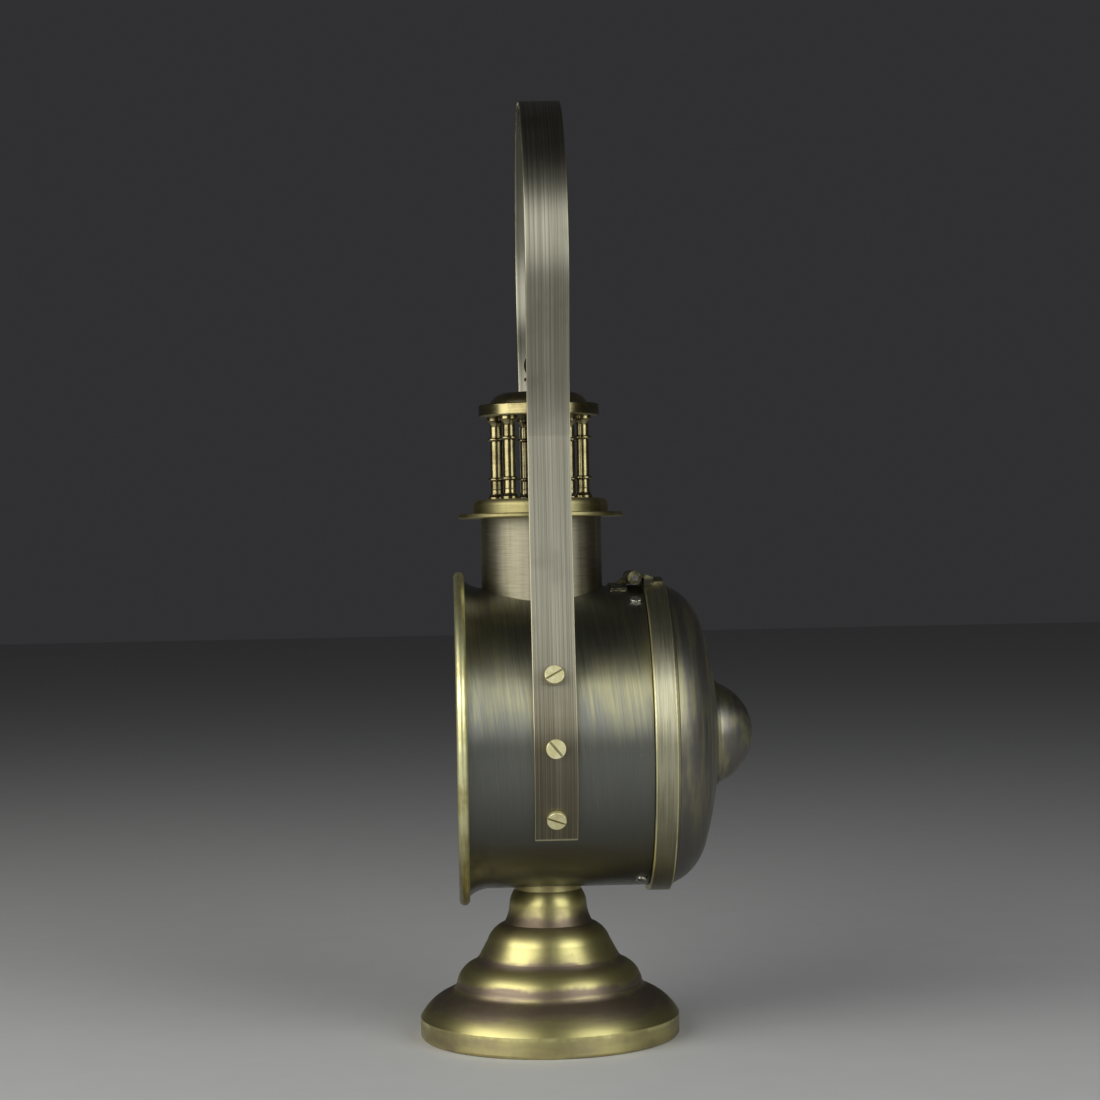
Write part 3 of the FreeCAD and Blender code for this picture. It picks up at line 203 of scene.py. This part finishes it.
    def finish(self, color, roughness, normal=None, metallic=1.0, turning=None, across=None, **fixed):
        """The shader. turning is the axis that brushed lines run round, across the way over them."""
        inputs = {"Base Color": color, "Roughness": roughness, "Metallic": metallic}
        if normal is not None:
            inputs["Normal"] = normal
        shader = self.node("ShaderNodeBsdfPrincipled", inputs)
        if turning:
            tangent = self.node("ShaderNodeTangent", {}, direction_type="RADIAL", axis=turning)
            self.tree.links.new(tangent.outputs[0], shader.inputs["Tangent"])
            shader.inputs["Anisotropic Rotation"].default_value = 0.25
        if across:
            self.tree.links.new(self.vector(*across), shader.inputs["Tangent"])
        for name, value in fixed.items():
            shader.inputs[name.replace("_", " ")].default_value = value
        self.tree.links.new(shader.outputs[0], self.output.inputs["Surface"])
        return self.material


def rgb(red, green, blue):
    return (red, green, blue, 1.0)


# ---- Finishes ----------------------------------------------------------------------------------

# (height, half width) of the pedestal's polished crests and of its dull hollows.
CRESTS = ((0.0110, 0.0036), (0.0300, 0.0045), (0.0440, 0.0085), (0.0630, 0.0065))
HOLLOWS = ((0.0195, 0.0060), (0.0250, 0.0030), (0.0355, 0.0026), (0.0535, 0.0040))
FOOT_EDGE = 0.0088
FOOT_EDGE_WIDTH = 0.0016


def base_finish():
    """Worn antique brass: golden on the crests, mauve brown in the hollows."""
    g = Graph("base_brass")
    polar = g.polar("Z")
    lines = g.turned_lines(polar, 3.0, 2400.0)
    broad = g.turned_lines(polar, 2.0, 150.0, 2.0, 3.0)
    cloud = g.noise(g.place, 42.0, 4.0, 0.6, 1.0)
    speck = g.noise(g.place, 1100.0, 3.0, 0.6, 2.0)
    ragged = g.add(g.z, g.sway(cloud, 0.005))
    wear = g.add(0.55, g.times(g.hills(ragged, CRESTS), 0.38))
    wear = g.subtract(wear, g.times(g.hills(ragged, HOLLOWS), 0.45))
    wear = g.add(wear, g.sway(broad, 0.8))
    wear = g.add(wear, g.sway(cloud, 1.0))
    wear = g.ramp(wear, 0.1, 0.9)
    scraped = g.times(g.hill(g.z, FOOT_EDGE, FOOT_EDGE_WIDTH), g.ramp(cloud, 0.50, 0.60))
    brown = g.blend(cloud, rgb(0.21, 0.160, 0.115), rgb(0.38, 0.300, 0.215))
    color = g.blend(wear, brown, rgb(0.64, 0.575, 0.245))
    color = g.blend(scraped, color, rgb(0.80, 0.74, 0.36))
    color = g.blend(g.ramp(speck, 0.66, 0.78), color, rgb(0.14, 0.11, 0.06))
    roughness = g.add(g.between(wear, 0.50, 0.40), g.sway(lines, 0.16))
    height = g.add(lines, g.times(speck, 0.35))
    return g.finish(color, roughness, g.bump(height, 0.18, 0.00006), turning="Z", Anisotropic=0.45)


def drum_finish():
    """Dark bronze patina under wax, with olive streaks where the patina is worn through, a painted
    highlight band above the axis and painted shade below it.
    """
    g = Graph("drum_brass")
    polar = g.polar("Y")
    cosine, sine, along, radius = polar
    lines = g.turned_lines(polar, 3.0, 2600.0)
    slanted = (cosine, sine, g.add(along, g.times(g.z, 0.10)), radius)
    streaks = g.turned_lines(slanted, 2.4, 1100.0, 4.0, 5.0)
    cloud = g.noise(g.place, 20.0, 3.0, 0.55, 7.0)
    speck = g.noise(g.place, 800.0, 2.0, 0.6, 2.0)
    # Painted highlight: a lighter olive band above the axis, mixed in with the worn streaks.
    painted_highlight_band = g.hill(g.z, DRUM_AXIS + 0.036, 0.052)
    wear_and_painted_highlight = g.add(g.times(painted_highlight_band, 0.60), g.sway(cloud, 1.1))
    wear_and_painted_highlight = g.ramp(g.add(wear_and_painted_highlight, g.sway(streaks, 0.9)), 0.15, 0.85)
    patina = g.blend(lines, rgb(0.150, 0.155, 0.138), rgb(0.240, 0.245, 0.220))
    color = g.blend(wear_and_painted_highlight, patina, rgb(0.42, 0.395, 0.215))
    # Painted shade: the lower side of the drum is darkened.
    color = g.blend(g.times(g.painted_shade_below_axis(0.015, 0.055), 0.75), color, rgb(0.060, 0.056, 0.045))
    color = g.blend(g.ramp(speck, 0.72, 0.80), color, rgb(0.40, 0.39, 0.32))
    roughness = g.add(g.between(wear_and_painted_highlight, 0.50, 0.46), g.sway(lines, 0.16))
    return g.finish(color, roughness, g.bump(lines, 0.16, 0.00006), turning="Y", Anisotropic=0.85,
                    Coat_Weight=0.25, Coat_Roughness=0.25)


def rim_finish():
    """Bright worn brass of the bead on the bell mouth, with painted shade on its lower side."""
    g = Graph("rim_brass")
    lines = g.turned_lines(g.polar("Y"), 7.0, 1500.0)
    cloud = g.noise(g.place, 60.0, 3.0, 0.6, 4.0)
    wear = g.ramp(g.add(cloud, g.sway(lines, 0.6)), 0.25, 0.6)
    color = g.blend(wear, rgb(0.52, 0.46, 0.20), rgb(0.92, 0.90, 0.50))
    # Painted shade: the lower side of the bead is darkened.
    color = g.blend(g.times(g.painted_shade_below_axis(0.020, 0.065), 0.8), color, rgb(0.16, 0.14, 0.06))
    roughness = g.between(wear, 0.52, 0.42)
    return g.finish(color, roughness, g.bump(lines, 0.2, 0.00008), turning="Y", Anisotropic=0.3)


def band_finish():
    """Olive brass, finely brushed round, with worn edges that also carry a painted highlight, and
    painted shade on its lower side.
    """
    g = Graph("band_brass")
    lines = g.turned_lines(g.polar("Y"), 3.0, 2300.0, 4.0)
    cloud = g.noise(g.place, 30.0, 3.0, 0.6, 6.0)
    # Worn edges, brightened also as a painted highlight along both edges.
    edges = g.ramp(g.distance(g.y, BAND_MIDDLE), BAND_HALF - 0.0008, BAND_HALF - 0.0003)
    edges = g.times(edges, g.ramp(cloud, 0.30, 0.55))
    tone = g.ramp(g.add(lines, g.sway(cloud, 0.5)), 0.3, 0.7)
    color = g.blend(tone, rgb(0.36, 0.335, 0.215), rgb(0.58, 0.56, 0.40))
    # Painted shade: the lower side of the band is darkened.
    color = g.blend(g.times(g.painted_shade_below_axis(0.010, 0.055), 0.75), color, rgb(0.13, 0.115, 0.075))
    color = g.blend(edges, color, rgb(0.85, 0.78, 0.44))
    roughness = g.add(0.40, g.times(lines, 0.14))
    return g.finish(color, roughness, g.bump(lines, 0.2, 0.00006), turning="Y", Anisotropic=0.75)


def cover_finish():
    """Warm brown bronze with olive streaks round the dome, and painted shade on its lower side."""
    g = Graph("cover_bronze")
    polar = g.polar("Y")
    lines = g.turned_lines(polar, 3.0, 2000.0)
    streaks = g.turned_lines(polar, 1.6, 240.0, 4.0, 9.0)
    cloud = g.noise(g.place, 35.0, 3.0, 0.6, 11.0)
    tone = g.ramp(g.add(streaks, g.sway(cloud, 0.6)), 0.42, 0.66)
    color = g.blend(tone, rgb(0.215, 0.200, 0.175), rgb(0.36, 0.335, 0.205))
    # Painted shade: the lower side of the dome is darkened.
    color = g.blend(g.times(g.painted_shade_below_axis(0.010, 0.050), 0.7), color, rgb(0.085, 0.078, 0.066))
    roughness = g.add(0.44, g.sway(lines, 0.14))
    return g.finish(color, roughness, g.bump(lines, 0.15, 0.00006), turning="Y", Anisotropic=0.45,
                    Coat_Weight=0.15, Coat_Roughness=0.3)


def strap_finish():
    """Grey brass, brushed along the strap, with painted shade that makes it browner and darker low
    down, and worn edges that also carry a painted highlight.
    """
    g = Graph("strap_brass")
    lines = g.lengthwise_lines(7.0, 3200.0, 4.0, 0.0)
    wide = g.lengthwise_lines(4.0, 1300.0, 4.0, 3.0)
    cloud = g.noise(g.place, 26.0, 3.0, 0.6, 4.0)
    # Worn edges, brightened also as a painted highlight along the sides and the lower end.
    sides = g.ramp(g.distance(g.y, STRAP_MIDDLE), STRAP_HALF - 0.0005, STRAP_HALF - 0.0001)
    ends = g.ramp(g.z, STRAP_LOW.z + 0.0010, STRAP_LOW.z + 0.0003)
    bright = g.times(g.highest(sides, ends), g.add(0.25, cloud))
    # Painted shade: the strap is made browner and darker low down.
    low = g.ramp(g.z, 0.21, 0.13)
    tone = g.ramp(g.add(g.times(lines, 0.55), g.times(wide, 0.45)), 0.34, 0.64)
    cool = g.blend(tone, rgb(0.175, 0.166, 0.125), rgb(0.385, 0.368, 0.295))
    shaded_low_tone = g.blend(tone, rgb(0.105, 0.093, 0.064), rgb(0.250, 0.226, 0.155))
    color = g.blend(g.times(low, g.add(0.45, cloud)), cool, shaded_low_tone)
    color = g.blend(bright, color, rgb(0.70, 0.64, 0.42))
    stain = g.ramp(g.add(cloud, g.times(wide, 0.5)), 0.78, 1.0)
    color = g.blend(g.times(stain, 0.5), color, rgb(0.15, 0.14, 0.11))
    roughness = g.add(0.42, g.times(lines, 0.12))
    return g.finish(color, roughness, g.bump(g.add(lines, wide), 0.12, 0.00006),
                    across=(0.0, 1.0, 0.0), Anisotropic=0.8)


def chimney_finish():
    """Satin brass, turned fine, with upright bands on the tube and a golden flange and collar."""
    g = Graph("chimney_brass")
    polar = g.polar("Z")
    cosine, sine, along, _ = polar
    lines = g.turned_lines(polar, 3.0, 2600.0)
    bands = g.noise(g.vector(g.times(cosine, 2.6), g.times(sine, 2.6), g.times(along, 4.0)),
                    1.0, 3.0, 0.6, 8.0)
    tone = g.ramp(g.add(g.times(lines, 0.35), g.times(bands, 0.65)), 0.36, 0.62)
    tube = g.blend(tone, rgb(0.20, 0.175, 0.105), rgb(0.36, 0.335, 0.245))
    golden = g.blend(tone, rgb(0.24, 0.205, 0.075), rgb(0.42, 0.37, 0.16))
    above_tube = g.ramp(g.z, FLANGE_FOOT - 0.0002, FLANGE_FOOT)
    color = g.blend(g.times(above_tube, 0.85), tube, golden)
    roughness = g.add(0.40, g.times(lines, 0.12))
    return g.finish(color, roughness, g.bump(lines, 0.16, 0.00006), turning="Z", Anisotropic=0.5)


def crown_finish():
    """Polished antique brass, darker towards the axis, with painted shade in its own grooves and
    corners.
    """
    g = Graph("crown_brass")
    radius = g.polar("Z")[3]
    lines = g.stretched_noise(60.0, 60.0, 2600.0, 3.0, 0.6, 1.0)
    cloud = g.noise(g.place, 120.0, 3.0, 0.6, 8.0)
    inside = g.ramp(radius, 0.0215, 0.0165)
    tone = g.ramp(g.add(g.times(lines, 0.3), g.times(cloud, 0.7)), 0.34, 0.58)
    color = g.blend(tone, rgb(0.150, 0.122, 0.058), rgb(0.340, 0.295, 0.140))
    color = g.blend(g.times(inside, 0.75), color, rgb(0.10, 0.082, 0.055))
    # Painted shade in the crown's own grooves and corners.
    color = g.blend(g.times(g.painted_recess_shade(0.0020), 0.8), color, rgb(0.055, 0.045, 0.028))
    return g.finish(color, g.add(0.20, g.times(lines, 0.08)))


def screw_finish():
    """Clean bright brass of the screws, with painted shade in the slots."""
    g = Graph("screw_brass")
    cloud = g.noise(g.place, 350.0, 3.0, 0.6, 1.0)
    scratch = g.stretched_noise(300.0, 4000.0, 900.0, 2.0, 0.5, 2.0)
    color = g.blend(g.ramp(cloud, 0.35, 0.65), rgb(0.86, 0.78, 0.42), rgb(0.98, 0.93, 0.62))
    # Painted shade in the slots and other recesses of the screws.
    color = g.blend(g.painted_recess_shade(0.0009), color, rgb(0.07, 0.055, 0.025))
    return g.finish(color, g.add(0.45, g.times(scratch, 0.16)), g.bump(scratch, 0.12, 0.00005))


def hinge_finish():
    """Antique brass with dull solder on it."""
    g = Graph("hinge_brass")
    cloud = g.noise(g.place, 240.0, 4.0, 0.65, 1.0)
    fine = g.noise(g.place, 1500.0, 3.0, 0.6, 2.0)
    color = g.blend(g.ramp(cloud, 0.40, 0.66), rgb(0.085, 0.076, 0.055), rgb(0.36, 0.33, 0.16))
    return g.finish(color, g.between(cloud, 0.28, 0.5), g.bump(g.add(cloud, fine), 0.3, 0.00012))


def steel_finish():
    """Plated steel with scratches."""
    g = Graph("steel")
    cloud = g.noise(g.place, 420.0, 4.0, 0.65, 1.0)
    scratch = g.stretched_noise(900.0, 300.0, 3800.0, 2.0, 0.5, 2.0)
    color = g.blend(g.ramp(cloud, 0.40, 0.62), rgb(0.34, 0.32, 0.29), rgb(0.74, 0.72, 0.68))
    return g.finish(color, g.add(0.2, g.times(scratch, 0.2)), g.bump(scratch, 0.2, 0.00006))


def reflector_finish():
    """Polished nickel with faint spinning lines and a little haze."""
    g = Graph("reflector_plate")
    lines = g.turned_lines(g.polar("Y"), 3.0, 1800.0)
    haze = g.noise(g.place, 50.0, 4.0, 0.6, 3.0)
    color = g.blend(haze, rgb(0.66, 0.64, 0.58), rgb(0.84, 0.82, 0.77))
    roughness = g.add(0.07, g.times(haze, 0.14))
    return g.finish(color, roughness, g.bump(lines, 0.06, 0.00005), turning="Y", Anisotropic=0.2)


def glass_finish():
    """Flat glass with faint smears."""
    g = Graph("clear_glass")
    smear = g.stretched_noise(60.0, 1.0, 25.0, 4.0, 0.6, 1.0)
    color = g.blend(smear, rgb(0.93, 0.97, 0.95), rgb(0.98, 0.99, 0.98))
    roughness = g.ramp(smear, 0.45, 0.85, 0.01, 0.16)
    return g.finish(color, roughness, g.bump(smear, 0.02, 0.0002), metallic=0.0,
                    Transmission_Weight=1.0, IOR=1.5)


def wax_finish():
    """Ivory wax, a little clouded."""
    g = Graph("wax")
    cloud = g.noise(g.place, 90.0, 4.0, 0.6, 1.0)
    fine = g.noise(g.place, 700.0, 3.0, 0.6, 2.0)
    color = g.blend(cloud, rgb(0.80, 0.72, 0.55), rgb(0.90, 0.85, 0.72))
    roughness = g.add(0.32, g.times(fine, 0.2))
    return g.finish(color, roughness, g.bump(g.add(cloud, fine), 0.15, 0.0002), metallic=0.0,
                    Subsurface_Weight=0.25, Subsurface_Scale=0.004)


def cotton_finish():
    """Braided cotton, charred at its tip."""
    g = Graph("cotton")
    braid = g.stretched_noise(1500.0, 1500.0, 2600.0, 2.0, 0.5, 1.0)
    char = g.ramp(g.z, WICK_TIP - 0.0045, WICK_TIP - 0.0015)
    color = g.blend(braid, rgb(0.45, 0.40, 0.32), rgb(0.78, 0.74, 0.65))
    color = g.blend(char, color, rgb(0.02, 0.018, 0.016))
    roughness = g.add(0.75, g.times(braid, 0.2))
    return g.finish(color, roughness, g.bump(braid, 0.4, 0.0002), metallic=0.0)


FINISHES = {
    "base_brass": base_finish(),
    "drum_brass": drum_finish(),
    "rim_brass": rim_finish(),
    "band_brass": band_finish(),
    "cover_bronze": cover_finish(),
    "strap_brass": strap_finish(),
    "hinge_brass": hinge_finish(),
    "chimney_brass": chimney_finish(),
    "crown_brass": crown_finish(),
    "screw_brass": screw_finish(),
    "steel": steel_finish(),
    "reflector_plate": reflector_finish(),
    "clear_glass": glass_finish(),
    "wax": wax_finish(),
    "cotton": cotton_finish(),
}


def dress(item, finish):
    """Give an object one material."""
    if item.material_slots:
        for slot in item.material_slots:
            slot.material = finish
    else:
        item.data.materials.append(finish)


for subpart in frame["record"]["subparts"]:
    dress(frame["nodes"][subpart["node"]], FINISHES[subpart["material_slot"]])


# ---- Pieces made here --------------------------------------------------------------------------

def make_piece(name, form, finish, body):
    """A smooth object from a bmesh, riding on a body of the lantern."""
    for face in form.faces:
        face.smooth = True
    mesh = bpy.data.meshes.new(name)
    form.to_mesh(mesh)
    form.free()
    piece = bpy.data.objects.new(name, mesh)
    bpy.context.scene.collection.objects.link(piece)
    dress(piece, FINISHES[finish])
    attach(piece, body)
    return piece


def loft(rings):
    """A closed form through rings of points, from its first end to its last."""
    form = bmesh.new()
    rows = [[form.verts.new(point) for point in ring] for ring in rings]
    count = len(rows[0])
    for below, above in zip(rows, rows[1:]):
        for index in range(count):
            after = (index + 1) % count
            form.faces.new((below[index], below[after], above[after], above[index]))
    form.faces.new(list(reversed(rows[0])))
    form.faces.new(rows[-1])
    return form


def candle_outline():
    """(share of the radius, share of the height) from the foot up the side and into the pool."""
    side_bottom = 0.035
    side_length = 0.9
    side_steps = 24
    outline = [(0.30, 0.0), (0.94, 0.0), (0.985, 0.012), (1.0, side_bottom)]
    for step in range(1, side_steps + 1):
        outline.append((1.0, side_bottom + side_length * step / side_steps))
    outline += [(0.995, 0.962), (0.97, 0.985), (0.93, 0.997), (0.88, 1.0), (0.82, 0.996)]
    outline += [(0.74, 0.985), (0.62, 0.968), (0.46, 0.955), (0.30, 0.948), (0.12, 0.944)]
    outline.append((0.03, 0.943))
    return outline


def run_height(runs, angle, height):
    """How far a run of wax stands out here: 0 beside the runs, 1 on the crest of one."""
    tallest = 0.0
    for place, width, lower_end in runs:
        away = abs((angle - place + pi) % (2 * pi) - pi)
        if height > lower_end:
            tallest = max(tallest, 0.5 + 0.5 * cos(pi * min(away / width, 1.0)))
    return tallest


def make_candle():
    """A burnt candle: dished top, soft uneven rim and three runs of wax down its side."""
    low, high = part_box("candle")
    centre = (low + high) / 2
    radius = (high.x - low.x) / 2
    points_round = 96
    run_depth = 0.00045
    waviness = 0.00008
    rim_drop = 0.0006
    rim_start = 0.9
    pool_depth = 0.0026
    pool_share = 0.2
    # (angle, width in radians, share of the height where the run ends)
    runs = ((0.4, 0.30, 0.45), (2.3, 0.22, 0.66), (4.4, 0.26, 0.55))
    rings = []
    for share, height in candle_outline():
        rim_share = max(0.0, height - rim_start) / (1.0 - rim_start)
        ring = []
        for index in range(points_round):
            angle = 2 * pi * index / points_round
            direction = Vector((cos(angle), sin(angle), 0))
            wobble = noise.noise(Vector((2 * direction.x, 2 * direction.y, 9 * height)))
            beside_run = 1 - run_height(runs, angle, height)
            reach = share * (radius - run_depth * beside_run + waviness * wobble)
            drop = rim_drop * (0.5 + 0.5 * wobble) * rim_share
            z = low.z + (high.z - low.z) * height - drop
            if share < pool_share:
                z = high.z - pool_depth
            ring.append(Vector((centre.x, centre.y, z)) + direction * min(reach, radius))
        rings.append(ring)
    candle = make_piece("candle_wax", loft(rings), "wax", "candle_stub")
    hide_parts("candle")


def make_wick():
    """A twisted wick that leans a little, from the wax pool up."""
    low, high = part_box("wick")
    centre = (low + high) / 2
    thickness = 0.00052
    lean = 0.00026
    foot = low.z - 0.0030
    steps = 32
    points_round = 18
    strands = 3
    strand_depth = 0.16
    twist = 14
    taper_start = 0.85
    tip_share = 0.5
    rings = []
    for step in range(steps + 1):
        share = step / steps
        taper = max(0.0, share - taper_start) / (1.0 - taper_start)
        swell = 1.0 - (1.0 - tip_share) * taper
        middle_x = centre.x + lean * (2 * share - 1)
        z = foot + (high.z - foot) * share
        ring = []
        for index in range(points_round):
            angle = 2 * pi * index / points_round
            ridge = 1 + strand_depth * cos(strands * angle + twist * share)
            reach = thickness * swell * ridge
            ring.append(Vector((middle_x + reach * cos(angle), centre.y + reach * sin(angle), z)))
        rings.append(ring)
    wick = make_piece("wick_cotton", loft(rings), "cotton", "candle_stub")
    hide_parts("wick")


def on_drum(x, y, side):
    """A point on the drum's outside, on its upper side (1) or its lower side (-1)."""
    return Vector((x, y, DRUM_AXIS + side * sqrt(DRUM_RADIUS ** 2 - x ** 2)))


def neck_drops():
    """(place, size) of the solder drops round the seam between the neck and the drum."""
    seam_radius = 0.0156
    count = 26
    drops = []
    for number in range(count):
        angle = 2 * pi * number / count + 0.12 * noise.noise(Vector((number, 3.0, 0.0)))
        size = 0.00045 + 0.00022 * noise.noise(Vector((number, 0.5, 7.0)))
        drops.append((on_drum(seam_radius * cos(angle), seam_radius * sin(angle), -1), size))
    return drops


def hinge_drops():
    """(place, size) of the solder drops along both sides of the hinge's fixed leaf."""
    low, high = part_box("hinge_leaf_fixed")
    count = 9
    spacing = 0.0008
    drops = []
    for side in (low.x, high.x):
        for number in range(count):
            x = side + 0.0004 * noise.noise(Vector((number, side * 90, 2.0)))
            size = 0.0006 + 0.00035 * noise.noise(Vector((number, side * 50, 5.0)))
            drops.append((on_drum(x, low.y + spacing * number, 1), size))
    return drops


def make_solder(name, drops, finish):
    """Small uneven drops of solder, each sunk halfway into the metal."""
    form = bmesh.new()
    unevenness = 0.35
    for number, (place, size) in enumerate(drops):
        shift = Matrix.Translation(place)
        drop = bmesh.ops.create_icosphere(form, subdivisions=3, radius=size, matrix=shift)
        for vert in drop["verts"]:
            away = vert.co - place
            bulge = noise.noise(away.normalized() * 1.7 + Vector((number, 0, 0)))
            vert.co = place + away * (1 + unevenness * bulge)
    make_piece(name, form, finish, "lantern")


make_candle()
make_wick()
make_solder("neck_solder", neck_drops(), "base_brass")
make_solder("hinge_solder", hinge_drops(), "hinge_brass")


# ---- Floor, light and camera -------------------------------------------------------------------

def make_floor():
    """A wide plain pale floor with a faint grain."""
    mesh = bpy.data.meshes.new("floor")
    half = 5.0
    corners = [(-half, -half, 0), (half, -half, 0), (half, half, 0), (-half, half, 0)]
    mesh.from_pydata(corners, [], [(0, 1, 2, 3)])
    floor = bpy.data.objects.new("floor", mesh)
    bpy.context.scene.collection.objects.link(floor)
    g = Graph("floor")
    grain = g.noise(g.place, 40.0, 4.0, 0.6)
    color = g.blend(grain, rgb(0.60, 0.60, 0.59), rgb(0.66, 0.66, 0.65))
    dress(floor, g.finish(color, 0.6, metallic=0.0))


def soft_box(name, place, size, power, tint):
    """A rectangular lamp that faces the middle of the lantern."""
    aim = Vector((0.0, 0.0, 0.2))
    light = bpy.data.lights.new(name, "AREA")
    light.shape = "RECTANGLE"
    light.size, light.size_y = size
    light.energy = power
    light.color = tint
    item = bpy.data.objects.new(name, light)
    item.location = place
    item.rotation_euler = (aim - Vector(place)).to_track_quat("-Z", "Y").to_euler()
    bpy.context.scene.collection.objects.link(item)


def make_lights():
    """Two soft boxes either side of the camera, and a dim even surround."""
    soft_box("left_box", (0.66, -0.88, 0.62), (1.30, 0.85), 12.0, (1.0, 1.0, 0.98))
    soft_box("right_box", (0.84, 0.74, 0.62), (0.80, 0.85), 6.8, (0.97, 1.0, 1.0))
    world = bpy.data.worlds.new("studio")
    world.use_nodes = True
    world.node_tree.nodes["Background"].inputs["Color"].default_value = rgb(0.03, 0.03, 0.032)
    bpy.context.scene.world = world
    bpy.context.scene.view_settings.view_transform = "Standard"


def make_camera():
    """A camera beside the drum, nearly level, on the side of the near handle leg."""
    camera = bpy.data.cameras.new("camera")
    camera.sensor_width = 36.0
    camera.lens = 79.28
    camera.clip_start = 0.01
    item = bpy.data.objects.new("camera", camera)
    place = Matrix.Translation((1.1252, -0.0413, 0.2276))
    pitch = -0.159
    turn = 2.309
    roll = -1.097
    facing = Euler((radians(90 + pitch), 0, radians(90 - turn))).to_matrix().to_4x4()
    item.matrix_world = place @ facing @ Matrix.Rotation(radians(roll), 4, "Z")
    bpy.context.scene.collection.objects.link(item)
    bpy.context.scene.camera = item


make_floor()
make_lights()
make_camera()
